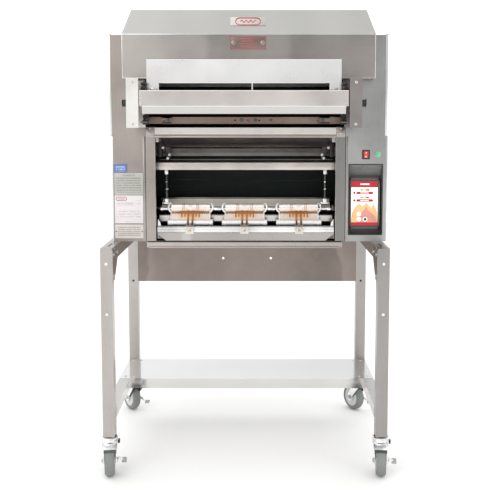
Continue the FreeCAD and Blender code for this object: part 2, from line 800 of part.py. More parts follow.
def rollers_and_belt():
    """Two rollers on thin shafts, and the flat belt that runs round them."""
    ends = ("-chamber_half + 0.5", "chamber_half - 0.5")
    for name, across in (("front", "roller_front"), ("rear", "roller_back")):
        drum = rod("x", ("-(belt_half + 8)", "belt_half + 8"), (across, "roller_height"), "roller_radius")
        shaft = rod("x", ends, (across, "roller_height"), 5)
        flats = block(("belt_half + 14", "belt_half + 26"),
                      (across + "- 9", across + "+ 9"), ("roller_height - 9", "roller_height + 9"))
        sub_part("%s_roller" % name, joined(drum, shaft, flats))
    inside = "roller_radius + belt_clearance"
    sub_part("conveyor_belt", less(belt_loop(inside + "+ belt_thickness", 0), belt_loop(inside, 1)))


def belt_loop(radius, extra):
    """A solid stadium round both roller axes."""
    across = ("-belt_half - %d" % extra, "belt_half + %d" % extra)
    middle = block(across, ("roller_front", "roller_back"),
                   ("roller_height - (%s)" % radius, "roller_height + (%s)" % radius))
    front = rod("x", across, ("roller_front", "roller_height"), radius)
    rear = rod("x", across, ("roller_back", "roller_height"), radius)
    return joined(middle, front, rear)


def discharge_guides():
    """Three saddles that lead food off the belt, each with a tongue over the trough's lip."""
    top = (-87, 856)
    low = (-112, 803)
    for number, side in enumerate(("left", "middle", "right"), -1):
        middle = "%d * guide_pitch + guide_centre" % number
        half = "guide_width/2"
        span = (middle + "- %s" % half, middle + "+ %s" % half)
        slope = extrusion("x", (span[0] + "+ 6", span[1] + "- 6"), [
            (top[0] - 5, top[1]), (low[0] - 1, low[1]), (low[0] + 1, low[1]), (top[0] - 3, top[1]),
        ])
        upper_roll = rod("x", (span[0] + "+ 8", span[1] + "- 8"), top, "guide_roll")
        lower_roll = rod("x", span, low, "guide_roll - 1")
        tongue = extrusion("x", (middle + "- 13", middle + "+ 13"), [
            (low[0] - 4, low[1]), (-128, 797), (-138.5, 797), (-138.5, 772), (-140, 772),
            (-140, 798.5), (-128, 798.5), (low[0] - 4, low[1] + 4),
        ])
        bracket = block((middle + "- 25", middle + "+ 25"), (-89, -85), (860, 872))
        window = block((middle + "- 17", middle + "+ 17"), (-90, -84), (864, 869))
        sub_part("discharge_guide_" + side,
                 joined(slope, upper_roll, lower_roll, tongue, less(bracket, window)))


def drip_trough():
    """Folded trough below the guides, with a leaning front wall and closed ends."""
    span = ("-trough_half", "trough_half")
    profile = [
        ("body_front + 2", 750), ("body_front + 8", "trough_top"), ("body_front + 13", "trough_top + 3"),
        ("body_front + 15", "trough_top"), ("body_front + 10", "trough_top - 2"),
        ("body_front + 4.5", 752), (-66, 752), (-66, "trough_top"), (-64, "trough_top"), (-64, 750),
    ]
    walls = []
    for sign in SIDES.values():
        x_span = outer_to_inner(sign, "trough_half", "trough_half - 2")
        walls.append(extrusion("x", x_span, [
            ("body_front + 3", 751), ("body_front + 8.5", "trough_top - 2"),
            (-65, "trough_top - 2"), (-65, 751),
        ]))
    sub_part("drip_trough", joined(extrusion("x", span, profile), *walls))


def grease_tray():
    """Shallow tray under the floor pan that draws out to the front, with a folded lip."""
    outside = (("tray_left", "tray_right"), ("body_front - 4", "tray_back"),
               ("tray_bottom + 4", "stand_top - 2"))
    inside = (("tray_left + sheet", "tray_right - sheet"), ("body_front - 4 + sheet", "tray_back - sheet"),
              ("tray_bottom + 4 + sheet", "stand_top + 5"))
    lip = block(("tray_left + 8", "tray_right - 8"), ("body_front - 14", "body_front - 2"),
                ("tray_bottom + 4", "tray_bottom + 4 + sheet"))
    sub_part("grease_tray", joined(less(block(*outside), block(*inside)), lip))


def services():
    """Burner box with port slots above the belt, and the gas inlet through the back."""
    case = shell(("-burner_half", "burner_half"), ("burner_front", "burner_back"),
                 ("burner_bottom", "burner_top"))
    ports = [
        block(("-burner_half + 20", "burner_half - 20"),
              ("burner_front + %d" % start, "burner_front + %d" % (start + 8)),
              ("burner_bottom - 1", "burner_bottom + 4"))
        for start in range(14, 138, 20)
    ]
    sub_part("burner", less(case, *ports))
    centre = ("gas_across", "gas_height")
    stub = rod("y", ("body_back", "body_back + 20"), centre, "gas_radius")
    nut = extrusion("y", ("body_back", "body_back + 12"), [
        ("gas_across + %.5f * nut_radius" % math.cos(math.radians(60 * corner)),
         "gas_height + %.5f * nut_radius" % math.sin(math.radians(60 * corner)))
        for corner in range(6)
    ])
    bore = rod("y", ("body_back - 1", "body_back + 21"), centre, "gas_bore")
    sub_part("gas_inlet", less(joined(stub, nut), bore))


def build():
    fill_sheet()
    for make in (legs, side_rails, gussets, apron, undershelf, casters, cabinets, back_and_floor,
                 frame_posts, hood, front_bars, loader_brackets, loader_knobs, loader_pusher,
                 loader_chute, controls, chamber_sheets, discharge_flap, rollers_and_belt,
                 discharge_guides, drip_trough, grease_tray, services):
        make()
    doc.recompute()


def check():
    """Stops before anything is written if an object failed or a shape is not one good solid."""
    for item in doc.Objects:
        failed = {"Invalid", "Error"} & set(item.State)
        if failed:
            raise RuntimeError("%s (%s) is %s" % (item.Label, item.Name, sorted(failed)))
    for item in sub_parts:
        shape = item.Shape
        if shape.isNull() or not shape.isValid():
            raise RuntimeError("%s has no valid shape" % item.Label)
        if len(shape.Solids) != 1:
            raise RuntimeError("%s has %d solids" % (item.Label, len(shape.Solids)))


def write():
    os.makedirs("parts", exist_ok=True)
    for item in sub_parts:
        item.Shape.exportStep("parts/%s.step" % item.Label)
    print("%d sub-parts" % len(sub_parts))


build()
check()
write()
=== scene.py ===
import json
import math

import bmesh
import bpy
from mathutils import Matrix, Vector


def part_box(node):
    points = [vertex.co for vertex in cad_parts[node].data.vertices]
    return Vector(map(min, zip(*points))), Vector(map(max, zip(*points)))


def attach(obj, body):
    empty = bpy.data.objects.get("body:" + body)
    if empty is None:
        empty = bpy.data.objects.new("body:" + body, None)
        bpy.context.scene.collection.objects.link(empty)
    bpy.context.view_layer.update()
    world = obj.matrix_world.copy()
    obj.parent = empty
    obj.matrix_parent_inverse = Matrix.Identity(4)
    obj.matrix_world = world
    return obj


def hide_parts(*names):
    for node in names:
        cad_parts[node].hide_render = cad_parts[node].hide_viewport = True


# Detailed visual model of a conveyor broiler on a caster stand, built round its CAD frame.
# Metres throughout. X is to the right, Y to the back and Z up.

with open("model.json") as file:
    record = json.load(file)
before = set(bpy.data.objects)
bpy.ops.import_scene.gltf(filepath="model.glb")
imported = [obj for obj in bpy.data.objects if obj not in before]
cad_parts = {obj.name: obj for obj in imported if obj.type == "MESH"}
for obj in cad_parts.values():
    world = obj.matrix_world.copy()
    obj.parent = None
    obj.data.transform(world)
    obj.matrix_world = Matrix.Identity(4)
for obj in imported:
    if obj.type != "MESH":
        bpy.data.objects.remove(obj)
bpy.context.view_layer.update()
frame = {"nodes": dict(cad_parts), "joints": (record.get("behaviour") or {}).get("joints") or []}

SIDES = {"left": -1, "right": 1}
JOINTS = {joint["name"]: joint for joint in frame["joints"]}
RIGHT, BACK, FRONT, UP = (1, 0, 0), (0, 1, 0), (0, -1, 0), (0, 0, 1)
TURN = 2 * math.pi


# ---------------------------------------------------------------- shader building

class Paint:
    """A material under construction, with the Principled shader at its end."""

    def __init__(self, name, metallic=0.0, roughness=0.5, **fixed):
        self.material = bpy.data.materials.new(name)
        self.material.use_nodes = True
        self.tree = self.material.node_tree
        self.shader = self.tree.nodes["Principled BSDF"]
        self.shader.inputs["Metallic"].default_value = metallic
        self.shader.inputs["Roughness"].default_value = roughness
        for socket, value in fixed.items():
            self.shader.inputs[socket.replace("_", " ")].default_value = value
        self.place = self.node("ShaderNodeTexCoord").outputs["Object"]

    def feed(self, socket, value):
        """Links a socket to another one, or sets its value."""
        if isinstance(value, bpy.types.NodeSocket):
            self.tree.links.new(value, socket)
        else:
            socket.default_value = value

    def node(self, kind, inputs=None, **settings):
        made = self.tree.nodes.new(kind)
        for name, value in settings.items():
            setattr(made, name, value)
        for name, value in (inputs or {}).items():
            self.feed(made.inputs[name], value)
        return made

    def stretched(self, scale):
        """The object's coordinates, scaled on each axis."""
        return self.node("ShaderNodeMapping", {"Vector": self.place, "Scale": scale}).outputs["Vector"]

    def noise(self, scale, detail=3.0, roughness=0.55):
        """Cloudy noise. scale is one number, or one for each axis."""
        scale = scale if isinstance(scale, tuple) else (scale,) * 3
        inputs = {"Vector": self.stretched(scale), "Scale": 1.0, "Detail": detail, "Roughness": roughness}
        return self.node("ShaderNodeTexNoise", inputs).outputs["Fac"]

    def sum(self, first, second, operation="ADD"):
        return self.node("ShaderNodeMath", {0: first, 1: second}, operation=operation).outputs[0]

    def ranged(self, value, low, high, new_low=0.0, new_high=1.0):
        inputs = {"Value": value, "From Min": low, "From Max": high, "To Min": new_low, "To Max": new_high}
        return self.node("ShaderNodeMapRange", inputs).outputs["Result"]

    def spread(self, noise, low=0.0, high=1.0):
        """Noise, which stays near its middle, stretched over a range."""
        return self.ranged(noise, 0.3, 0.7, low, high)

    def mixed(self, factor, first, second):
        """Two colours mixed. A plain colour is an (r, g, b) tuple."""
        made = self.node("ShaderNodeMix", data_type="RGBA")
        self.feed(made.inputs[0], factor)
        for place, tone in ((6, first), (7, second)):
            self.feed(made.inputs[place], (*tone, 1.0) if isinstance(tone, tuple) else tone)
        return made.outputs[2]

    def toned(self, factor, tone, dark, light):
        """A colour that goes from a darker shade of a tone to a lighter one."""
        return self.mixed(factor, shade(tone, dark), shade(tone, light))

    def ramp(self, factor, pairs):
        """A colour ramp through (position, colour) pairs."""
        made = self.node("ShaderNodeValToRGB", {"Fac": factor})
        ramp = made.color_ramp
        while len(ramp.elements) < len(pairs):
            ramp.elements.new(0.5)
        for element, (position, tone) in zip(ramp.elements, pairs):
            element.position = position
            element.color = (*tone, 1.0)
        return made.outputs["Color"]

    def along(self, axis):
        """The surface's coordinate on an axis, in metres."""
        return self.node("ShaderNodeSeparateXYZ", {"Vector": self.place}).outputs[axis]

    def bump(self, height, strength, distance):
        inputs = {"Height": height, "Strength": strength, "Distance": distance}
        self.feed(self.shader.inputs["Normal"], self.node("ShaderNodeBump", inputs).outputs["Normal"])

    def colour(self, value):
        self.feed(self.shader.inputs["Base Color"], value)

    def rough(self, value):
        self.feed(self.shader.inputs["Roughness"], value)


def shade(tone, factor):
    return tuple(min(1.0, channel * factor) for channel in tone)


# Noise scales for brush marks that run along each axis, and for the painted soft reflections across them.
BRUSH = {"x": (3.0, 1100.0, 1100.0), "y": (1100.0, 3.0, 1100.0), "z": (1100.0, 1100.0, 3.0)}
PAINTED_SHEEN_BANDS = {"x": (0.9, 3.0, 9.0), "y": (9.0, 0.9, 3.0), "z": (6.0, 4.0, 0.8)}
DENTS = (2.2, 2.2, 3.5)
SHIFT = 0.3  # how far the shades of a sheet go each way
GUIDE_PITCH = 0.186
GUIDE_CENTRE = -0.004


def steel(name, tone, brush="x", roughness=0.3, cloud=0.1, marks=0.05, band=0.1, warp=0.0015,
          across=None, stain=0.0, stain_tone=(0.32, 0.22, 0.15), stain_scale=(7.0, 7.0, 12.0),
          metallic=1.0, depth=0.00002, profile=None, above=None, below=None):
    """Brushed stainless sheet: fine lines, cloudy smears, broad soft bands of painted reflection and slight
    oil-canning.

    across is the axis the painted reflection bands run along, where it isn't the brushing's. profile is
    a painted reflection: how light the sheet is along X, as (x, level) pairs with 0.5 in the middle.
    above and below are (height, tone) for a part over or under a fold that takes painted light or shade.
    """
    paint = Paint(name, metallic=metallic, roughness=roughness)
    lines = paint.noise(BRUSH[brush], roughness=0.7)
    smear = paint.noise(5.0, detail=4.0, roughness=0.6)
    # Broad soft bands in the colour are painted reflections.
    bands = paint.noise(PAINTED_SHEEN_BANDS[across or brush], detail=1.5, roughness=0.4)
    shift = paint.sum(paint.spread(lines, -marks, marks), paint.spread(smear, -cloud, cloud))
    shift = paint.sum(shift, paint.spread(bands, -band, band))
    plain_shift = shift
    # Painted reflection: the profile lightens and darkens the colour along X.
    if profile:
        start, stop = profile[0][0], profile[-1][0]
        place = paint.along("X")
        wander = paint.spread(paint.noise((5.0, 5.0, 9.0), detail=1.0), -0.018, 0.018)
        painted_reflection = paint.ramp(paint.ranged(paint.sum(place, wander), start, stop),
                            [((x - start) / (stop - start), (level,) * 3) for x, level in profile])
        shift = paint.sum(shift, paint.ranged(painted_reflection, 0.0, 1.0, -SHIFT, SHIFT))
    value = paint.toned(paint.ranged(shift, -SHIFT, SHIFT), tone, 0.7, 1.3)
    # Painted light or shade: the face over or under the fold takes its own tone.
    for part, side in ((above, "GREATER_THAN"), (below, "LESS_THAN")):
        if part:
            other = paint.toned(paint.ranged(plain_shift, -SHIFT, SHIFT), part[1], 0.85, 1.15)
            value = paint.mixed(paint.sum(paint.along("Z"), part[0], side), value, other)
    if stain:
        patches = paint.noise(stain_scale, detail=4.0)
        value = paint.mixed(paint.ranged(patches, 0.42, 0.72, 0.0, stain), value, stain_tone)
    paint.colour(value)
    rub = 0.8 * marks
    worn = paint.sum(paint.spread(lines, -rub, rub), paint.spread(smear, -0.06, 0.07))
    paint.rough(paint.sum(worn, roughness))
    fine = paint.ranged(lines, 0.0, 1.0, 0.0, depth)
    dents = paint.noise(DENTS, detail=0.0)
    paint.bump(paint.sum(fine, paint.ranged(dents, 0.0, 1.0, 0.0, warp)), 1.0, 1.0)
    return paint.material


def scorched(name, tone=(0.05, 0.046, 0.042), metallic=0.75, **fixed):
    """Steel that heat and grease have darkened, with matt soot and a few bare rubs."""
    paint = Paint(name, metallic=metallic, roughness=0.55, **fixed)
    soot = paint.noise((9.0, 9.0, 16.0), detail=6.0)
    rubs = paint.noise((3.0, 160.0, 160.0), detail=4.0)
    value = paint.toned(paint.ranged(soot, 0.35, 0.7), tone, 0.55, 1.9)
    paint.colour(paint.mixed(paint.ranged(rubs, 0.62, 0.8, 0.0, 0.35), value, (0.25, 0.21, 0.18)))
    paint.rough(paint.spread(soot, 0.38, 0.72))
    paint.bump(soot, 0.3, 0.0008)
    return paint.material


def zinc(name, tone, roughness):
    """Bright zinc plating with faint spangle and dull patches."""
    paint = Paint(name, metallic=1.0, roughness=roughness)
    cells = paint.node("ShaderNodeTexVoronoi", {"Vector": paint.stretched((90.0,) * 3), "Scale": 1.0})
    dull = paint.noise(30.0, detail=4.0)
    value = paint.toned(paint.ranged(cells.outputs["Distance"], 0.0, 0.8), tone, 0.88, 1.1)
    paint.colour(paint.mixed(paint.ranged(dull, 0.5, 0.8, 0.0, 0.5), value, shade(tone, 0.62)))
    paint.rough(paint.ranged(dull, 0.35, 0.75, roughness - 0.06, roughness + 0.2))
    paint.bump(dull, 0.08, 0.0004)
    return paint.material


def moulded(name, tone, roughness=0.45, grain=900.0, depth=0.12, variation=0.12, **fixed):
    """Moulded plastic or rubber with a fine pebble grain and uneven handling shine."""
    paint = Paint(name, roughness=roughness, **fixed)
    pebbles = paint.noise(grain, detail=2.0)
    handled = paint.noise(14.0)
    paint.colour(paint.toned(paint.spread(handled), tone, 1.0 - variation, 1.0 + variation))
    paint.rough(paint.spread(handled, roughness - 0.07, roughness + 0.09))
    paint.bump(pebbles, depth, 0.0003)
    return paint.material


def lit(name, tone, strength, roughness=0.3):
    """A glowing colour behind clear plastic, slightly uneven like a backlight."""
    paint = Paint(name, roughness=roughness, Emission_Strength=strength)
    value = paint.toned(paint.spread(paint.noise(25.0, detail=1.0)), tone, 0.93, 1.04)
    paint.colour(value)
    paint.feed(paint.shader.inputs["Emission Color"], value)
    return paint.material


def printed(name, ground, ink, line_height, words, share, strength):
    """A plate whose ink falls in rows of short worn bars, like print too small to read."""
    paint = Paint(name, roughness=0.45)
    split = paint.node("ShaderNodeSeparateXYZ", {"Vector": paint.place})
    row = paint.sum(split.outputs["Z"], line_height, "DIVIDE")
    level = paint.node("ShaderNodeMath", {0: row}, operation="FLOOR").outputs[0]
    half_row = paint.sum(paint.sum(row, level, "SUBTRACT"), 0.5, "LESS_THAN")
    inside = paint.ranged(half_row, 0.0, 1.0, 0.0, strength)
    along = paint.node("ShaderNodeCombineXYZ", {
        "X": paint.sum(split.outputs["X"], words, "MULTIPLY"),
        "Y": paint.sum(level, 3.7, "MULTIPLY")}).outputs[0]
    letters = paint.node("ShaderNodeTexNoise", {"Vector": along, "Scale": 1.0, "Detail": 1.0}).outputs["Fac"]
    mask = paint.sum(inside, paint.ranged(letters, share - 0.03, share + 0.03), "MULTIPLY")
    aged = paint.noise(40.0)
    paint.colour(paint.mixed(mask, paint.toned(paint.spread(aged), ground, 0.95, 1.03), ink))
    paint.rough(paint.spread(aged, 0.36, 0.52))
    paint.bump(aged, 0.05, 0.0002)
    return paint.material


def heat_tinted(name, stops, low, high, roughness=0.24, sides=None, burnt=0.25, metallic=1.0):
    """Polished sheet that heat has coloured in soft bands between two heights.

    sides is the paler tone that takes over away from each guide's middle. burnt is how strong
    the brown film is.
    """
    paint = Paint(name, metallic=metallic, roughness=roughness)
    drift = paint.noise(22.0, detail=2.0)
    value = paint.ramp(
        paint.sum(paint.ranged(paint.along("Z"), low, high), paint.spread(drift, -0.1, 0.1)), stops)
    if sides:
        across = paint.sum(paint.along("X"), GUIDE_CENTRE, "SUBTRACT")
        apart = paint.sum(paint.sum(across, GUIDE_PITCH / 2, "PINGPONG"), paint.spread(drift, -0.006, 0.006))
        value = paint.mixed(paint.ranged(apart, 0.012, 0.05), value, sides)
    film = paint.noise(70.0)
    paint.colour(paint.mixed(paint.ranged(film, 0.45, 0.8, 0.0, burnt), value, (0.3, 0.17, 0.09)))
    paint.rough(paint.ranged(film, 0.35, 0.7, roughness - 0.03, roughness + 0.06))
    paint.bump(drift, 0.05, 0.0004)
    return paint.material


def woven(name):
    """Wire belt: round wires across, with dark gaps between them."""
    paint = Paint(name, metallic=0.9, roughness=0.42)
    wires, links = (
        paint.node("ShaderNodeTexWave", {"Vector": paint.stretched((1.0, 1.0, 1.0)), "Scale": scale},
                   bands_direction=way).outputs["Fac"]
        for way, scale in (("Y", 48.0), ("X", 22.0)))
    weave = paint.sum(wires, links, "MAXIMUM")
    paint.colour(paint.mixed(weave, (0.018, 0.016, 0.015), (0.36, 0.33, 0.3)))
    paint.bump(weave, 0.6, 0.0015)
    return paint.material


STEEL = {
    # Painted reflection bands across the hood's front from the profile, and painted light on the brow over the knee.
    "hood": steel(
        "hood_steel", (0.34, 0.315, 0.295), "x", 0.34, cloud=0.06, across="z", above=(1.4362, (0.415, 0.41, 0.395)),
        profile=((-0.404, 0.98), (-0.3, 0.86), (-0.15, 0.72), (-0.125, 0.36), (0.05, 0.46), (0.135, 0.5),
                 (0.155, 0.22), (0.3, 0.32), (0.428, 0.46))),
    # The two cabinets: one steel in two tones, painted light and shade on each side.
    "cabinet_left": steel("cabinet_steel_left", (0.335, 0.295, 0.27), "z", 0.34, band=0.16),
    "cabinet_right": steel("cabinet_steel_right", (0.385, 0.383, 0.378), "z", 0.34, band=0.2),
    "rear": steel("rear_steel", (0.4, 0.385, 0.365), "x", 0.36, band=0.14),
    # Left and right posts: a lit and a shaded copy of one steel, painted light and shade.
    "post_left": steel("post_steel_lit", (0.37, 0.335, 0.31), "z", cloud=0.14, band=0.08),
    "post_right": steel("post_steel_shaded", (0.245, 0.24, 0.23), "z"),
    "bar": steel("bar_steel", (0.7, 0.665, 0.63), "x", 0.28),
    # Painted highlight across the chute from the profile.
    "light": steel(
        "satin_light", (0.92, 0.895, 0.87), "x", 0.28, cloud=0.03, marks=0.004, band=0.05, warp=0.0008,
        depth=0.0000004, profile=((-0.32, 0.4), (-0.19, 0.46), (0.0, 0.64), (0.14, 0.56), (0.313, 0.5))),
    # Painted highlight along the beam from the profile, and painted shade on its face under the fold.
    "beam": steel(
        "beam_steel", (0.66, 0.615, 0.585), "x", 0.22, cloud=0.03, marks=0.008, band=0.05,
        depth=0.000002, below=(1.2002, (0.54, 0.52, 0.505)),
        profile=((-0.333, 0.5), (-0.2, 0.46), (-0.03, 0.52), (0.1, 0.84), (0.15, 0.86), (0.24, 0.56), (0.328, 0.62))),
    # The left bracket takes this lit copy of the bracket steel and the right one the shaded copy: painted light and
    # shade.
    "bracket": steel("lit_bracket_steel", (0.8, 0.76, 0.725), "z", cloud=0.04, band=0.05),
    "shaded": steel("shaded_steel", (0.3, 0.275, 0.265), "z", 0.32, band=0.06),
    # Stand legs and gussets: lit, shaded and half-shaded copies of one steel, painted light and shade.
    "stand_lit": steel("stand_steel_lit", (0.48, 0.45, 0.43), "z", 0.32, cloud=0.08),
    "stand_shaded": steel("stand_steel_shaded", (0.315, 0.3, 0.29), "z", 0.32, cloud=0.08),
    "stand_half_shaded": steel("stand_steel_half_shaded", (0.42, 0.4, 0.385), "z", 0.32, cloud=0.08),
    "rail": steel("rail_steel", (0.52, 0.5, 0.48), "y", 0.32, cloud=0.06, band=0.08),
    "low_rail": steel("low_rail_steel", (0.66, 0.64, 0.62), "y", cloud=0.06, band=0.08),
    # Painted reflections: the profile lightens bands near the apron's ends.
    "apron": steel(
        "apron_steel", (0.25, 0.21, 0.19), "x", 0.34, cloud=0.18, band=0.08, across="z",
        profile=((-0.427, 0.34), (-0.388, 0.36), (-0.38, 0.8), (-0.364, 0.7), (-0.352, 0.5), (-0.1, 0.44),
                 (0.1, 0.46), (0.355, 0.42), (0.368, 1.0), (0.39, 0.8), (0.427, 0.6))),
    # Painted light: the shelf's top face above the hem is toned near-white.
    "shelf": steel("shelf_steel", (0.66, 0.65, 0.635), "x", 0.12, cloud=0.04, marks=0.02, band=0.05,
                   warp=0.0006, depth=0.000004, above=(0.2168, (0.98, 0.975, 0.965))),
    "tray": steel("tray_steel", (0.46, 0.42, 0.385), "x", 0.32, cloud=0.12),
    "tinted_bar": steel("tinted_bar", (0.31, 0.24, 0.2), "x", 0.34, cloud=0.2, stain=0.6,
                        stain_tone=(0.24, 0.12, 0.075)),
    # Dark smoked steel for heat-darkened parts, also used as painted shadow: the rims under the labels and the strip
    # under the badge.
    "smoke_and_shade": steel("smoke_and_shade_steel", (0.2, 0.19, 0.175), "x", 0.38, cloud=0.2, stain=0.6,
                    stain_tone=(0.045, 0.045, 0.04)),
    "baffle": steel("baffle_steel", (0.37, 0.335, 0.31), "x", 0.42, cloud=0.16, stain=0.4,
                    stain_tone=(0.1, 0.105, 0.095)),
    "flap": steel("flap_steel", (0.6, 0.55, 0.51), "x", 0.32, cloud=0.12, band=0.2, across="z", stain=0.25,
                  stain_tone=(0.16, 0.12, 0.09), stain_scale=(10.0, 10.0, 30.0)),
    "sooty": steel("sooty_plate", (0.66, 0.62, 0.56), "x", 0.5, cloud=0.12, stain=0.25, metallic=0.0),
    # Painted highlight near the trough face's left end and painted shade at that end, from the profile.
    "face": steel(
        "trough_face_steel", (0.42, 0.395, 0.372), "x", 0.28, cloud=0.08, marks=0.02, band=0.08, across="z",
        depth=0.000004, profile=((-0.3, 0.3), (-0.262, 0.52), (-0.225, 0.62), (-0.212, 1.0), (-0.19, 1.0),
                                 (-0.176, 0.5), (0.135, 0.44), (0.16, 0.6), (0.3, 0.5))),
    "roll": steel("white_roll", (0.93, 0.915, 0.895), "x", cloud=0.04, marks=0.004, band=0.04, warp=0.0004,
                  depth=0.0000004, metallic=0.35),
    # Painted reflections along the lip from the profile, with painted shade at its left end.
    "lip": steel(
        "trough_lip_steel", (0.66, 0.65, 0.635), "x", 0.18, metallic=0.55, marks=0.01, across="z",
        depth=0.000003, profile=((-0.3, 0.16), (-0.262, 0.06), (-0.225, 0.55), (-0.16, 0.95), (-0.06, 0.8),
                                 (0.02, 0.46), (0.06, 0.95), (0.23, 0.9), (0.265, 0.52), (0.3, 0.7))),
    "bright": steel("bright_steel", (0.93, 0.92, 0.905), "x", 0.16, cloud=0.04, marks=0.015, band=0.05,
                    warp=0.0006, depth=0.000003),
    "data": steel("data_plate_steel", (0.27, 0.19, 0.17), "x", cloud=0.16, band=0.3, across="z"),
    # Painted highlight: the folded edges' steel is lighter than the sheets round them.
    "seam": steel("folded_edge", (0.66, 0.65, 0.63), "z", 0.24, cloud=0.04),
}
SCORCHED = scorched("scorched_steel")
# Near-black liner for the chamber and heat shield: painted shade inside the chamber as well as soot.
SOOT_AND_SHADE_LINER = scorched("chamber_liner", (0.005, 0.009, 0.0075), metallic=0.15, Specular_IOR_Level=0.18)
# Dark sheets under each caster fork: painted shadow.
FORK_SHADOW = scorched("fork_inside", (0.07, 0.08, 0.075), metallic=0.6)
ZINC = zinc("zinc_plate", (0.86, 0.865, 0.87), 0.26)
SCREW = zinc("screw_steel", (0.58, 0.57, 0.56), 0.3)
ROLLED = heat_tinted(
    "rolled_steel",
    ((0.0, (0.42, 0.28, 0.2)), (0.14, (0.7, 0.57, 0.47)), (0.4, (0.82, 0.74, 0.66)),
     (0.66, (0.9, 0.87, 0.83)), (0.82, (0.97, 0.96, 0.95)), (1.0, (0.78, 0.69, 0.61))),
    0.842, 0.87, burnt=0.08, metallic=0.5)
# The last, darkest stop is a painted shadow line along the top of the slope, under the roll.
TINTED = heat_tinted(
    "tinted_steel",
    ((0.0, (0.74, 0.6, 0.47)), (0.25, (0.66, 0.44, 0.27)), (0.6, (0.52, 0.27, 0.12)),
     (0.85, (0.5, 0.25, 0.11)), (1.0, (0.2, 0.1, 0.055))),
    0.814, 0.844, sides=(0.66, 0.54, 0.47), burnt=0.15)
FORK = heat_tinted(
    "fork_steel",
    ((0.0, (0.62, 0.4, 0.24)), (0.35, (0.42, 0.2, 0.09)), (0.75, (0.33, 0.13, 0.05)), (1.0, (0.22, 0.09, 0.04))),
    0.79, 0.85)
STRAP = heat_tinted("strap_steel", ((0.0, (0.5, 0.26, 0.12)), (1.0, (0.66, 0.44, 0.27))), 0.84, 0.872, 0.3)
BELT = woven("belt_mesh")
RUBBER = moulded("grey_rubber", (0.2, 0.21, 0.2), 0.62, 700.0, 0.2)
HUB = moulded("hub_plastic", (0.56, 0.57, 0.55), 0.4, 500.0)
PAD = moulded("pad_rubber", (0.4, 0.42, 0.4), 0.5, 500.0)
PLUG = moulded("plug_nylon", (0.86, 0.86, 0.84), 0.45, 500.0)
BLACK = moulded("black_plastic", (0.018, 0.018, 0.019), 0.42)
DARK = moulded("dark_plastic", (0.075, 0.073, 0.07), 0.3, 600.0)
VISOR = moulded("visor_plastic", (0.22, 0.22, 0.215), 0.32, 600.0)
GLASS = moulded("screen_glass", (0.012, 0.012, 0.013), 0.12, 60.0, 0.01, Coat_Weight=0.6)
RED = lit("red_rocker", (0.5, 0.035, 0.022), 0.1, 0.25)
GREEN = lit("green_lens", (0.08, 0.46, 0.23), 0.28, 0.15)
ENAMEL_RED = moulded("enamel_red", (0.5, 0.06, 0.045), 0.35, 400.0, 0.05)
INK = moulded("dull_ink", (0.33, 0.1, 0.08), 0.5, 400.0, 0.05)
LABEL_TONES = {"blue": (0.1, 0.17, 0.42), "grey": (0.4, 0.395, 0.365), "white": (0.66, 0.625, 0.62),
               "metal": (0.56, 0.515, 0.485)}
PLATES = {
    name: moulded("plate_" + name, tone, 0.4, 500.0, 0.04, {"white": 0.04, "metal": 0.06}.get(name, 0.12))
    for name, tone in LABEL_TONES.items()
}
PRINTS = {
    name: printed("print_" + name, LABEL_TONES[name], *rows)
    for name, rows in {
        "blue": ((0.62, 0.68, 0.8), 0.0075, 230.0, 0.46, 0.7),
        "grey": ((0.15, 0.15, 0.14), 0.0082, 300.0, 0.4, 0.55),
        "white": ((0.3, 0.28, 0.28), 0.009, 300.0, 0.46, 0.5),
        "metal": ((0.2, 0.17, 0.15), 0.0066, 300.0, 0.38, 0.6),
    }.items()
}
# The glint entry is a faint glowing strip on the display's edge: a painted reflection.
SCREEN = {
    name: lit("screen_" + name, tone, strength)
    for name, tone, strength in (
        ("white", (0.86, 0.85, 0.83), 0.5), ("red", (0.44, 0.01, 0.018), 0.2), ("green", (0.1, 0.42, 0.12), 0.25),
        ("yellow", (0.78, 0.52, 0.06), 0.25), ("orange", (0.74, 0.43, 0.2), 0.32),
        ("pink", (0.58, 0.24, 0.19), 0.3), ("glint", (0.3, 0.42, 0.36), 0.1))
}
IRON = moulded("black_iron", (0.03, 0.03, 0.032), 0.55, 300.0, 0.3, Metallic=0.8)


# ---------------------------------------------------------------- mesh building

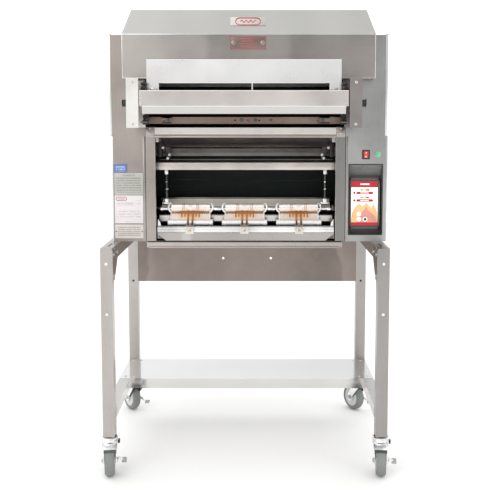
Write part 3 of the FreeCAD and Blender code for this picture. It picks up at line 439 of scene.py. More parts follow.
class Shape:
    """Collects solids in one mesh."""

    def __init__(self, turn=None):
        self.mesh = bmesh.new()
        self.turn = turn or Matrix()

    def box(self, first, second, bevel=0.0, turn=None, segments=2):
        """A box between two opposite corners, with rounded edges."""
        low, high = (Vector([pick(pair) for pair in zip(first, second)]) for pick in (min, max))
        made = bmesh.ops.create_cube(self.mesh, size=1.0)["verts"]
        matrix = Matrix.Translation((low + high) / 2) @ (turn or Matrix())
        bmesh.ops.transform(self.mesh, matrix=matrix @ Matrix.Diagonal((*(high - low), 1.0)), verts=made)
        if bevel:
            edges = list(dict.fromkeys(edge for vert in made for edge in vert.link_edges))
            bmesh.ops.bevel(self.mesh, geom=edges, offset=bevel, segments=segments, profile=0.5,
                            affect="EDGES", clamp_overlap=True)
        return self

    def block(self, centre, half, bevel, turn=None, segments=2):
        """A box round its centre, given half its size."""
        centre, half = Vector(centre), Vector(half)
        return self.box(centre - half, centre + half, bevel, turn, segments)

    def link(self, first, second, half, track, bevel):
        """A slanted flat bar between two points. half is what it has round that line."""
        way = second - first
        half = Vector(half)
        half["XYZ".index(track[0])] += way.length / 2
        return self.block((first + second) / 2, half, bevel, way.to_track_quat(*track).to_matrix().to_4x4())

    def loft(self, rings):
        """A solid through closed rings of as many points each. An end may be a single point."""
        made = [[self.mesh.verts.new(point) for point in ring] for ring in rings]
        count = max(len(ring) for ring in made)
        for first, second in zip(made, made[1:]):
            for k in range(count):
                j = (k + 1) % count
                corners = (first[k % len(first)], first[j % len(first)],
                           second[j % len(second)], second[k % len(second)])
                face = list(dict.fromkeys(corners))
                if len(face) > 2:
                    self.mesh.faces.new(face)
        for ring in (made[0], made[-1]):
            if len(ring) > 1:
                self.mesh.faces.new(ring)
        return self

    def prism(self, axis, outline, low, high):
        """An outline pushed along an axis. Its pairs are on the other two axes, in order."""
        place = "xyz".index(axis)
        return self.loft([[(*pair[:place], depth, *pair[place:]) for pair in outline] for depth in (low, high)])

    def strip(self, path, thickness, half, middle=0.0):
        """Bent sheet: a line of (y, z) pairs given a thickness on its left, pushed along X."""
        offset = []
        for i, (a, b) in enumerate(path):
            before = Vector(path[max(i - 1, 0)])
            after = Vector(path[min(i + 1, len(path) - 1)])
            way = (after - before).normalized()
            offset.append((a - way.y * thickness, b + way.x * thickness))
        return self.prism("x", list(path) + offset[::-1], middle - half, middle + half)

    def lathe(self, centre, axis, profile, segments=32):
        """A solid of revolution from (radius, distance along the axis) pairs."""
        way = Vector(axis).normalized()
        side = way.orthogonal().normalized()
        other = way.cross(side)
        rings = []
        for radius, distance in profile:
            middle = Vector(centre) + way * distance
            rings.append([
                middle + side * radius * math.cos(angle) + other * radius * math.sin(angle)
                for angle in (TURN * k / segments for k in range(segments if radius else 1))
            ])
        return self.loft(rings)

    def tube(self, points, radius, segments=8):
        """A round bar along a line of points."""
        points = [Vector(point) for point in points]
        side = (points[1] - points[0]).orthogonal().normalized()
        rings = []
        for i, point in enumerate(points):
            way = (points[min(i + 1, len(points) - 1)] - points[max(i - 1, 0)]).normalized()
            side = (side - way * side.dot(way)).normalized()
            other = way.cross(side)
            rings.append([
                point + (side * math.cos(angle) + other * math.sin(angle)) * radius
                for angle in (TURN * k / segments for k in range(segments))
            ])
        return self.loft(rings)

    def rod(self, x0, x1, y, z, radius, segments=8):
        """A round bar along X."""
        return self.tube([(x0, y, z), (x1, y, z)], radius, segments)

    def screw(self, centre, axis, radius=0.004, rise=0.0022, hexagon=False):
        """A pan head with a cross recess, or a hexagon head on a washer."""
        if hexagon:
            self.lathe(centre, axis, [(radius * 1.35, 0), (radius * 1.35, rise * 0.3),
                                      (radius * 0.9, rise * 0.3)], 20)
            return self.lathe(centre, axis, [(radius, rise * 0.3), (radius, rise * 1.3),
                                             (radius * 0.86, rise * 1.5), (0, rise * 1.5)], 6)
        return self.lathe(centre, axis, [
            (radius, 0), (radius, rise * 0.35), (radius * 0.86, rise * 0.75), (radius * 0.5, rise),
            (radius * 0.28, rise), (radius * 0.2, rise * 0.45), (0, rise * 0.4)], 18)

    def finish(self, name, material, slot, body="frame", replaces=()):
        """Turns the collected solids into one object that rides on a body."""
        bmesh.ops.transform(self.mesh, matrix=self.turn, verts=self.mesh.verts)
        bmesh.ops.recalc_face_normals(self.mesh, faces=self.mesh.faces)
        data = bpy.data.meshes.new(name)
        self.mesh.to_mesh(data)
        self.mesh.free()
        data.shade_smooth()
        data.set_sharp_from_angle(angle=math.radians(35))
        data.materials.append(material)
        piece = bpy.data.objects.new(name, data)
        bpy.context.collection.objects.link(piece)
        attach(piece, body)
        if replaces:
            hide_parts(*replaces)


def arc(centre, radius, start, stop, steps):
    """Points on an arc, in degrees."""
    angles = [math.radians(start + (stop - start) * k / steps) for k in range(steps + 1)]
    return [(centre[0] + radius * math.cos(angle), centre[1] + radius * math.sin(angle)) for angle in angles]


# ---------------------------------------------------------------- CAD nodes that stay

def paint_nodes():
    """Gives every CAD node that stays visible its finished material."""
    # Each name or beginning of a name. The longest that fits a node is the one that counts.
    looks = {
        "hood": STEEL["hood"],
        "lower_cabinet_left": STEEL["cabinet_left"],
        "upper_cabinet_left": STEEL["cabinet_left"],
        "lower_cabinet_right": STEEL["cabinet_right"],
        "upper_cabinet_right": STEEL["cabinet_right"],
        "rear_panel": STEEL["rear"],
        "floor_pan": STEEL["smoke_and_shade"],
        "frame_post_left": STEEL["post_left"],
        "frame_post_right": STEEL["post_right"],
        "light_bar": STEEL["bar"],
        "crossmember": STEEL["tinted_bar"],
        "chute_panel": STEEL["light"],
        "loader_ledge": STEEL["smoke_and_shade"],
        "loader_pusher": STEEL["beam"],
        "loader_bracket_left": STEEL["bracket"],
        "loader_bracket_right": STEEL["shaded"],
        "apron": STEEL["apron"],
        "undershelf": STEEL["shelf"],
        "baffle": STEEL["baffle"],
        "discharge_flap": STEEL["flap"],
        "front_roller": STEEL["bright"],
        "rear_roller": STEEL["bright"],
        "grease_tray": STEEL["tray"],
        "drip_trough": STEEL["light"],
        "gusset_left": STEEL["stand_lit"],
        "gusset_right": STEEL["stand_shaded"],
        "leg_front_left": STEEL["stand_lit"],
        "leg_rear_left": STEEL["stand_lit"],
        "leg_front_right": STEEL["stand_shaded"],
        "leg_rear_right": STEEL["stand_half_shaded"],
        "top_rail": STEEL["rail"],
        "lower_rail": STEEL["low_rail"],
        "heat_shield": SOOT_AND_SHADE_LINER,
        "burner": SCORCHED,
        "conveyor_belt": BELT,
        "control_recess": DARK,
        "touch_screen": GLASS,
        "rocker_bezel": BLACK,
        "rocker_switch": RED,
        "indicator_lamp": GREEN,
        "gas_inlet": IRON,
        "loader_knob": BLACK,
        "caster_fork": ZINC,
        "caster_pedal": ZINC,
        "caster_wheel": RUBBER,
        "discharge_guide": TINTED,
    }
    for name, node in frame["nodes"].items():
        known = max((start for start in looks if name.startswith(start)), key=len)
        for place in node.material_slots:
            place.material = looks[known]


# ---------------------------------------------------------------- casters

WHEEL_RADIUS = 0.051
HALF_TREAD = 0.016


def caster_frame(corner):
    """Axle, trail and up as X, Y and Z, from the floor under the caster's stem."""
    stem = Vector(JOINTS["swivel_%s_turn" % corner]["pos_m"])
    roll = JOINTS["wheel_%s_roll" % corner]
    trail = Vector(roll["pos_m"]) - stem
    trail.z = 0.0
    axle = Vector(roll["axis"]).normalized()
    turn = Matrix((axle, trail.normalized(), Vector(UP))).transposed().to_4x4()
    return Matrix.Translation((stem.x, stem.y, 0.0)) @ turn, trail.length


def cheek(trail, u):
    """The middle line of a fork cheek at a share of its height down: lean, middle and height."""
    lean = 0.0262 - 0.0052 * math.sin(0.5 * math.pi * min(1.0, 1.5 * u))
    middle = trail * (1 - math.cos(math.pi * min(1.0, 1.15 * u))) / 2
    return lean, middle, -0.0695 * u


def caster_fork(corner, turn, trail):
    """Pressed fork: a domed raceway and two cheeks that taper and lean in to the axle, with dark sheets under it as
    painted shadow.
    """
    body = "swivel_" + corner
    hub = (0, trail, WHEEL_RADIUS)
    shape = Shape(turn).lathe((0, 0, 0), UP, [
        (0, 0.1045), (0.021, 0.1045), (0.0268, 0.1055), (0.0285, 0.1075), (0.0285, 0.11), (0.0262, 0.112),
        (0.0252, 0.1135), (0.0268, 0.115), (0.027, 0.1188), (0.0245, 0.1205), (0, 0.1205)], 40)
    rows, columns, sheet = 12, 8, 0.0026
    for sign in (-1, 1):
        # Rings of points round the cheek's edge and across it, from the raceway down.
        skins = []
        for lift in (0.0, sheet):
            grid = []
            for i in range(rows + 1):
                lean, middle, drop = cheek(trail, i / rows)
                half = 0.0235 - 0.0125 * (i / rows) ** 0.8
                across = [2 * j / columns - 1 for j in range(columns + 1)]
                grid.append([
                    shape.mesh.verts.new((sign * (lean - lift), middle + half * t,
                                          0.1065 + drop + 0.004 * (i / rows) * t ** 2))
                    for t in across
                ])
            skins.append(grid)
        outer, inner = skins
        new_face = shape.mesh.faces.new
        for grid in skins:
            for i in range(rows):
                for j in range(columns):
                    new_face((grid[i][j], grid[i + 1][j], grid[i + 1][j + 1], grid[i][j + 1]))
        for i in range(rows):
            for j in (0, columns):
                new_face((outer[i][j], outer[i + 1][j], inner[i + 1][j], inner[i][j]))
        for j in range(columns):
            for i in (0, rows):
                new_face((outer[i][j], outer[i][j + 1], inner[i][j + 1], inner[i][j]))
    shape.box((-0.0258, -0.022, 0.1042), (0.0258, 0.024, 0.107), 0.0012)
    shape.strip(arc(hub[1:], 0.054, 122, 58, 12), -0.001, 0.0212)
    # Painted shadow: a dark arch over the wheel's top and dark strips along the cheeks' inner edges.
    shadow_sheets = Shape(turn).strip(arc(hub[1:], 0.0526, 132, 48, 14), -0.001, 0.0186)
    for sign in (-1, 1):
        for way in (-1, 1):
            rings = []
            for k in range(7):
                u = 0.12 * k
                lean, middle, drop = cheek(trail, u)
                lean -= 0.0022
                edge = middle + way * (0.0226 - 0.0125 * u ** 0.8)
                deep = lean - 0.0012 - 0.0052 * (1 - u)
                rings.append([(sign * x, y, 0.105 + drop) for x, y in (
                    (lean, edge), (deep, edge), (deep, edge - way * 0.0014), (lean, edge - way * 0.0014))])
            shadow_sheets.loft(rings)
    shadow_sheets.finish("caster_fork_shadow_" + corner, FORK_SHADOW, "zinc_plate", body)
    shape.finish("caster_fork_shell_" + corner, ZINC, "zinc_plate", body, replaces=("caster_fork_" + corner,))
    bolt = Shape(turn).lathe(hub, RIGHT, [(0.0039, -0.0275), (0.0039, 0.0265), (0.0034, 0.0272)], 20)
    for sign in (-1, 1):
        bolt.screw((sign * 0.0208, trail, WHEEL_RADIUS), (sign, 0, 0), 0.0068, 0.0036, hexagon=True)
    bolt.finish("caster_axle_" + corner, SCREW, "zinc_plate", body)
    tab = Shape(turn).box((0.0255, -0.006, 0.096), (0.033, 0.006, 0.11), 0.0025, segments=3)
    tab.finish("caster_lock_tab_" + corner, BLACK, "black_plastic", body)
    ring = Shape(turn).lathe((0, 0, 0), UP, [
        (0, 0.1203), (0.0225, 0.1203), (0.0232, 0.1212), (0.0225, 0.1219), (0, 0.1219)], 36)
    ring.finish("caster_seal_" + corner, BLACK, "black_plastic", body)


def both_ways(half):
    """A lathe profile with its mirror image before it."""
    return [(radius, -distance) for radius, distance in reversed(half)] + half


def caster_wheel(corner, turn, trail):
    """Crowned rubber tyre on a ribbed hub with bearing caps."""
    body = "wheel_" + corner
    hub = (0, trail, WHEEL_RADIUS)
    crown = [(WHEEL_RADIUS - 0.0045 * abs(k / 6) ** 2.6, HALF_TREAD * 0.86 * k / 6) for k in range(-6, 7)]
    wall = [(0.044, HALF_TREAD), (0.04, 0.0158), (0.0355, 0.0135)]
    tyre = Shape(turn).lathe(hub, RIGHT, [(radius, -x) for radius, x in reversed(wall)] + crown + wall, 64)
    tyre.finish("caster_tyre_" + corner, RUBBER, "grey_rubber", body, replaces=("caster_wheel_" + corner,))
    core = Shape(turn).lathe(hub, RIGHT, [
        (0.032, -0.0142), (0.0352, -0.0148), (0.0358, -0.0135), (0.0358, 0.0135), (0.0352, 0.0148),
        (0.032, 0.0142), (0.0308, 0.005), (0.0308, -0.005)], 48)
    core.lathe(hub, RIGHT, both_ways([
        (0.0315, 0.0032), (0.0145, 0.004), (0.014, 0.015), (0.0125, 0.0165), (0.0045, 0.0165)]), 48)
    for k in range(8):
        spoke = Matrix.Rotation(TURN * k / 8, 4, "X")
        core.block(spoke @ Vector((0, 0.0228, 0)) + Vector(hub), (0.0115, 0.0092, 0.0016), 0.0006, spoke)
    core.finish("caster_hub_" + corner, HUB, "grey_rubber", body)
    cap = Shape(turn)
    for sign in (-1, 1):
        cap.lathe(hub, (sign, 0, 0), [
            (0.0048, 0.016), (0.0105, 0.016), (0.0105, 0.0172), (0.0085, 0.018), (0.0048, 0.018)])
    cap.finish("caster_bearing_" + corner, ZINC, "zinc_plate", body)


def caster_pedal(corner, turn, trail):
    """Brake lever from the axle down to a ribbed foot pad."""
    body = "pedal_" + corner
    lever = Shape(turn).lathe((0.0212, trail, WHEEL_RADIUS), RIGHT,
                              [(0.0042, 0), (0.01, 0), (0.01, 0.0026), (0.0042, 0.0026)])
    route = [Vector((x, trail + y, z)) for x, y, z in (
        (0.0224, -0.004, 0.0505), (0.0228, -0.018, 0.05), (0.027, -0.028, 0.0478),
        (0.0335, -0.035, 0.041), (0.04, -0.04, 0.0345))]
    for first, second in zip(route, route[1:]):
        lever.link(first, second, (0.0012, 0.0012, 0.0042), "YZ", 0.0005)
    lever.finish("caster_lever_" + corner, ZINC, "zinc_plate", body, replaces=("caster_pedal_" + corner,))
    tip = Matrix.Rotation(math.radians(-52), 4, "X") @ Matrix.Rotation(math.radians(12), 4, "Y")
    centre = Vector((0.0455, trail - 0.045, 0.0315))
    pad = Shape(turn).block(centre, (0.0082, 0.009, 0.0028), 0.002, tip, segments=3)
    for k in range(4):
        pad.block(centre + tip @ Vector((0.0, -0.0062 + 0.0041 * k, 0.0028)), (0.0072, 0.0008, 0.0009), 0.0004, tip)
    pad.finish("caster_foot_pad_" + corner, PAD, "grey_rubber", body)


def casters():
    for corner in ("front_left", "front_right", "rear_left", "rear_right"):
        turn, trail = caster_frame(corner)
        caster_fork(corner, turn, trail)
        caster_wheel(corner, turn, trail)
        caster_pedal(corner, turn, trail)


# ---------------------------------------------------------------- stand

def stand_details():
    """Weld beads where rails meet legs, and what holds the shelf, apron and gussets."""
    welds = Shape()
    for rail in ("top_rail", "lower_rail"):
        for side, sign in SIDES.items():
            low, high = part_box("%s_%s" % (rail, side))
            steps = 14
            tall = high[2] - low[2] - 0.002
            for y in (low[1], high[1]):
                for x in (low[0], high[0]):
                    welds.tube([
                        (x + 0.0002 * sign * math.sin(k * 2.4), y, low[2] + 0.001 + tall * k / steps)
                        for k in range(steps + 1)
                    ], 0.0011, 6)
    welds.finish("stand_welds", STEEL["rail"], "stand_steel")
    screws = Shape()
    low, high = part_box("undershelf")
    for sign in (-1, 1):
        for y in (low[1] + 0.022, high[1] - 0.022):
            screws.screw((sign * (high[0] - 0.018), y, high[2]), UP, 0.0048, 0.0028)
            screws.screw((sign * (high[0] - 0.048), y, high[2]), UP, 0.0036, 0.0022)
    low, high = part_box("apron")
    for sign in (-1, 1):
        screws.screw((sign * (high[0] - 0.02), low[1], high[2] - 0.035), FRONT, 0.0042, 0.0024)
    for side, sign in SIDES.items():
        low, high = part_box("gusset_" + side)
        inside = low[0] if sign > 0 else high[0]
        for y, z in ((low[1] + 0.018, low[2] + 0.016), (low[1] + 0.018, high[2] - 0.016),
                     (high[1] - 0.014, high[2] - 0.016)):
            screws.screw((inside, y, z), (-sign, 0, 0), 0.0042, 0.0024, hexagon=True)
    screws.finish("stand_screws", SCREW, "zinc_plate")
    plugs = Shape()
    for side in SIDES:
        low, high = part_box("leg_front_" + side)
        for drop in (0.05, 0.215):
            plugs.lathe(((low[0] + high[0]) / 2, low[1] + 0.0004, high[2] - drop), FRONT, [
                (0.0036, -0.003), (0.0036, 0), (0.0044, 0.0004), (0.0042, 0.001), (0.0025, 0.0016), (0, 0.0018)], 24)
    plugs.finish("leg_plugs", PLUG, "grey_rubber")


# ---------------------------------------------------------------- hood and cabinets

def folded_edges():
    """Folded edges on the hood and the side covers, in a lighter steel as a painted highlight."""
    low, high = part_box("hood")
    knee = 1.436
    shape = Shape()
    for x, sign in ((low[0], 1), (high[0], -1)):
        shape.box((x, low[1] - 0.001, low[2]), (x + sign * 0.0026, low[1] + 0.0004, knee - 0.001), 0.0005)
    shape.box((low[0], low[1] - 0.0006, low[2] - 0.0003), (high[0], low[1] + 0.0006, low[2] + 0.0014), 0.0004)
    shape.box((low[0], low[1] - 0.0007, knee - 0.0018), (high[0], low[1] + 0.0008, knee + 0.0004), 0.0004)
    for side, sign in SIDES.items():
        end = 1 if sign > 0 else 0
        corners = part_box("upper_cabinet_" + side)
        low, high = corners
        x = corners[end][0]
        shape.box((x, low[1] - 0.0012, low[2] + 0.001), (x - sign * 0.007, low[1] + 0.0004, high[2]), 0.0005)
        shape.box((x, low[1] + 0.002, high[2] - 0.001),
                  (x - sign * 0.0045, high[1] - 0.002, high[2] + 0.0035), 0.0006)
        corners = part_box("lower_cabinet_" + side)
        low, high = corners
        x = corners[end][0]
        shape.box((x, low[1] - 0.0008, low[2] + 0.001), (x - sign * 0.004, low[1] + 0.0004, high[2] - 0.001), 0.0004)
    shape.finish("folded_edges", STEEL["seam"], "brushed_steel")


def oval(shape, centre, width, height, radius, turn=None):
    """A raised rounded outline, as on a generic badge."""
    end = height / 2
    path = []
    for sign, start in ((1, -90), (-1, 90)):
        path += [(sign * (width / 2 - end) + a, b) for a, b in arc((0, 0), end, start, start + 180, 10)]
    points = [(turn or Matrix()) @ Vector((a, 0, b)) + Vector(centre) for a, b in path]
    shape.tube(points + points[:1], radius)


def badges():
    """A blank oval badge on the hood's brow and a riveted data plate below it."""
    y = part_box("hood")[0][1]
    middle = 0.0095
    turn = Matrix.Rotation(-math.atan2(0.045, 0.083), 4, "X")
    centre = Vector((middle, y + 0.0235, 1.479))
    plate = Shape().block(centre, (0.058, 0.0006, 0.0165), 0.0004, turn)
    plate.finish("hood_badge_plate", STEEL["rail"], "satin_steel")
    # A dark strip along the badge plate's lower edge: painted shadow.
    shadow = Shape().block(centre + turn @ Vector((0, -0.0002, -0.017)), (0.058, 0.0007, 0.0006), 0.0002, turn)
    shadow.finish("hood_badge_shadow", STEEL["smoke_and_shade"], "scorched_steel")
    ring = Shape()
    front = centre + turn @ Vector((0, -0.001, 0))
    oval(ring, front, 0.082, 0.0275, 0.0015, turn)
    ring.tube([
        front + turn @ Vector((-0.025 + 0.05 * k / 48, 0,
                               0.0055 * math.sin(0.44 * k) * (0.8 + 0.2 * math.cos(0.9 * k))))
        for k in range(49)
    ], 0.0014, 6)
    ring.finish("hood_badge_mark", ENAMEL_RED, "red_plastic")

    left, right, bottom, top = middle - 0.0585, middle + 0.0585, 1.3865, 1.429
    plate = Shape().box((left, y - 0.0012, bottom), (right, y, top), 0.0004)
    plate.finish("data_plate", STEEL["data"], "satin_steel")
    print_bars = Shape()
    outline(print_bars, (left, bottom), (right, top), (0.0016,) * 4, y - 0.0018, y - 0.001)
    for k, half in enumerate((0.026, 0.02, 0.029, 0.024)):
        z = top - 0.0085 - 0.008 * k
        print_bars.box((middle - half, y - 0.0016, z - 0.0016), (middle + half, y - 0.001, z + 0.0016), 0.0003)
    print_bars.finish("data_plate_print", INK, "red_plastic")
    rivets = Shape()
    for sign in (-1, 1):
        rivets.lathe((middle + sign * 0.0475, y - 0.001, 1.408), FRONT,
                     [(0.0072, 0), (0.0072, 0.0008), (0.0056, 0.002), (0, 0.0026)], 24)
    rivets.finish("data_plate_rivets", STEEL["shaded"], "zinc_plate")


def outline(shape, first, second, widths, y0, y1, bevel=0.0):
    """Four flat bars inside a rectangle's edge: bottom, top, left and right."""
    (x0, z0), (x1, z1) = first, second
    bottom, top, left, right = widths
    for a, b, c, d in ((x0, z0, x1, z0 + bottom), (x0, z1 - top, x1, z1),
                       (x0, z0, x0 + left, z1), (x1 - right, z0, x1, z1)):
        shape.box((a, y0, b), (c, y1, d), bevel)


def label_plates():
    """Four plates with blank print on the left cabinet, the lowest one riveted, each on a dark rim of painted shadow.
    """
    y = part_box("lower_cabinet_left")[0][1]
    left, right = -0.4436, -0.3468
    # Name, look, right edge, bottom, top, and the print's panels from the lower left corner.
    plates = (
        ("blue", "blue", left + 0.043, 0.981, 1.008, ((0.006, 0.037, 0.004, 0.023),)),
        ("grey", "grey", right, 0.9045, 0.98, ((0.006, 0.091, 0.008, 0.062), (0.03, 0.07, 0.064, 0.072))),
        ("white", "white", right, 0.8075, 0.903, (
            (0.008, 0.064, 0.06, 0.074), (0.01, 0.088, 0.018, 0.046), (0.072, 0.088, 0.062, 0.083),
            (0.034, 0.052, 0.005, 0.011))),
        ("riveted", "metal", right, 0.756, 0.804, ((0.01, 0.086, 0.008, 0.042),)),
    )
    shadow_rims = Shape()
    for name, look, x1, z0, z1, panels in plates:
        # A dark rim under each plate, wider at its left and bottom: painted shadow.
        shadow_rims.box((left - 0.0013, y - 0.0006, z0 - 0.0013), (x1 + 0.001, y, z1 + 0.001), 0.0003)
        plate = Shape().box((left, y - 0.0011, z0), (x1, y, z1), 0.0005)
        plate.finish("label_" + name, PLATES[look], "brushed_steel")
        rows = Shape()
        for a, b, c, d in panels:
            rows.box((left + a, y - 0.0013, z0 + c), (left + b, y - 0.0009, z0 + d), 0.0001)
        rows.finish("label_rows_" + name, PRINTS[look], "brushed_steel")
    shadow_rims.finish("label_shadow_rims", STEEL["smoke_and_shade"], "scorched_steel")
    rivets = Shape()
    for x in (left + 0.0045, right - 0.0045):
        rivets.lathe((x, y - 0.001, 0.78), FRONT, [(0.0026, 0), (0.0024, 0.0008), (0, 0.0012)], 14)
    rivets.finish("label_rivets", STEEL["smoke_and_shade"], "zinc_plate")
    marks = Shape()
    oval(marks, (left + 0.023, y - 0.0012, 0.8915), 0.036, 0.012, 0.001)
    marks.tube([(left + 0.012 + 0.022 * k / 20, y - 0.0013, 0.8915 + 0.0018 * math.sin(k * 1.1))
                for k in range(21)], 0.0007, 6)
    marks.finish("label_mark", INK, "red_plastic")


def louvres(shape, axis, face, middle, top, width, pitch, count, out=1):
    """Pressed scoops in a column, long on an axis, on a face whose outward sign is given."""
    for k in range(count):
        z = top - pitch * k
        path = [(0.0, z + 0.0085), (0.0035, z + 0.0055), (0.006, z), (0.005, z), (0.0028, z + 0.0048),
                (0.0, z + 0.0068)]
        shape.prism(axis, [(face + out * a, b) for a, b in path], middle - width / 2, middle + width / 2)


def side_and_back_details():
    """Louvres, access covers and screws on the sides and the back, and a cable gland."""
    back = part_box("rear_panel")[1]
    # Each side's outer face on the upper and the lower cover, and its outward sign.
    faces = [(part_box("upper_cabinet_" + side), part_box("lower_cabinet_" + side), end, out)
             for side, end, out in (("right", 1, 1), ("left", 0, -1))]
    scoops = Shape()
    for upper, lower, end, out in faces:
        louvres(scoops, "y", upper[end][0], 0.12, upper[1][2] - 0.06, 0.16, 0.02, 9, out)
    louvres(scoops, "x", back[1], 0.0, back[2] - 0.05, 0.3, 0.022, 6)
    scoops.finish("pressed_louvres", STEEL["rear"], "brushed_steel")

    covers = Shape()
    screws = Shape()
    for upper, lower, end, out in faces:
        x = lower[end][0]
        covers.box((x - out * 0.0002, -0.085, 0.79), (x + out * 0.0014, 0.245, 1.06), 0.0006)
        for y in (-0.078, 0.08, 0.238):
            for z in (0.797, 1.053):
                screws.screw((x + out * 0.0014, y, z), (out, 0, 0))
    covers.box((0.02, back[1] - 0.0002, 0.785), (0.3, back[1] + 0.0014, 1.02), 0.0006)
    covers.finish("access_covers", STEEL["cabinet_right"], "brushed_steel")
    for x in (0.028, 0.16, 0.292):
        for z in (0.792, 1.013):
            screws.screw((x, back[1] + 0.0014, z), BACK)
    for x in (-0.327, 0.327):
        for z in (0.8, 1.0, 1.2, 1.4):
            screws.screw((x, back[1], z), BACK)
    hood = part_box("hood")
    for x in (-0.3, -0.1, 0.1, 0.3):
        screws.screw((x, hood[1][1], 1.455), BACK)
    for y in (-0.1, 0.07, 0.24):
        for end, out in ((1, 1), (0, -1)):
            screws.screw((hood[end][0] - out * 0.0075, y, 1.4585), (out, 0, 0.33))
    for x in (-0.24, 0.0, 0.24):
        for y in (0.092, 0.268):
            screws.screw((x, y, hood[1][2]), UP)
    screws.finish("panel_screws", SCREW, "zinc_plate")

    gland = Shape().lathe((0.26, back[1], 0.772), BACK, [
        (0.013, 0), (0.013, 0.004), (0.0105, 0.005), (0.0105, 0.012), (0.0085, 0.016), (0.006, 0.018),
        (0.0045, 0.0178), (0.0045, 0.01), (0, 0.01)], 24)
    gland.finish("cable_gland", BLACK, "black_plastic")


def exhaust_mesh():
    """Dark wire screen under the exhaust slots."""
    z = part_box("hood")[1][2] - 0.006
    shape = Shape()
    for k in range(45):
        x = -0.2 + 0.0094 * k
        shape.tube([(x, 0.1, z), (x, 0.26, z)], 0.0008, 5)
    for k in range(17):
        shape.rod(-0.205, 0.22, 0.102 + 0.0097 * k, z + 0.0012, 0.0008, 5)
    shape.finish("exhaust_screen", SCORCHED, "scorched_steel")


# ---------------------------------------------------------------- front frame and loader

def front_frame_details():
    """Corner blocks and screws round the opening, with the post caps and the body's band."""
    bar_low, bar_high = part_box("light_bar")
    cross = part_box("crossmember")[0][1]
    blocks, seams, hems = Shape(), Shape(), Shape()
    for side, sign in SIDES.items():
        low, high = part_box("frame_post_" + side)
        face = low[1]
        blocks.box((low[0] + 0.001, face - 0.0022, bar_low[2] + 0.001), (high[0] - 0.001, face, bar_high[2] + 0.002),
                   0.0008)
        blocks.box((low[0] - 0.0005, face - 0.0015, high[2] - 0.0012), (high[0] + 0.0005, high[1], high[2] + 0.001),
                   0.0004)
        inner = high[0] if sign < 0 else low[0]
        blocks.box((inner, face - 0.001, low[2] + 0.001), (inner - sign * 0.0018, face + 0.012, bar_low[2]), 0.0004)
        blocks.box((sign * 0.292, bar_low[1] + 0.004, bar_low[2] - 0.016),
                   (sign * 0.305, bar_low[1] + 0.018, bar_low[2] + 0.002), 0.001)
        low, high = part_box("lower_cabinet_" + side)
        for shape, x0, x1, proud in ((seams, 0.3366, 0.3388, 0.0004), (hems, 0.3395, 0.3455, 0.0009)):
            shape.box((sign * x0, low[1] - proud, low[2] + 0.002),
                      (sign * x1, low[1] + 0.0004, high[2] - 0.001), 0.0002)
    seams.finish("post_seals", BLACK, "black_plastic")
    hems.finish("cabinet_hems", STEEL["post_left"], "brushed_steel")
    blocks.finish("corner_blocks", STEEL["post_left"], "brushed_steel")
    reach = bar_high[0] - 0.0005
    x, y, z = bar_low
    lip = Shape().box((-reach, y - 0.0006, z - 0.0002), (reach, y + 0.018, z + 0.0052), 0.0008)
    lip.finish("light_bar_lip", STEEL["tray"], "brushed_steel")
    Shape().rod(-reach, reach, y - 0.0002, z + 0.0078, 0.0018).finish(
        "light_bar_seal", STEEL["tinted_bar"], "brushed_steel")
    screws = Shape()
    for sign in (-1, 1):
        screws.screw((sign * 0.321, y - 0.0022, z + 0.014), FRONT, 0.0045)
        screws.screw((sign * 0.321, cross - 0.038, 1.129), FRONT, 0.0034)
    screws.finish("front_screws", SCREW, "zinc_plate")
    studs, clips = Shape(), Shape()
    for x, z, radius in ((-0.262, 1.156, 0.0052), (-0.276, 1.152, 0.0034), (0.262, 1.156, 0.0052),
                         (0.248, 1.152, 0.0034), (-0.014, 1.157, 0.0052), (0.01, 1.154, 0.003),
                         (0.034, 1.157, 0.0052), (0.086, 1.157, 0.0034)):
        proud = 0.007 if abs(x) > 0.2 else 0.0
        studs.screw((x, cross - proud, z), FRONT, radius, 0.0032, hexagon=True)
    studs.finish("crossmember_studs", STEEL["smoke_and_shade"], "scorched_steel")
    for x in (-0.268, 0.268):
        clips.strip([(cross - 0.001, 1.147), (cross - 0.006, 1.15), (cross - 0.006, 1.163), (cross - 0.001, 1.166)],
                    0.0012, 0.018, x)
    clips.finish("crossmember_clips", STEEL["tinted_bar"], "brushed_steel")


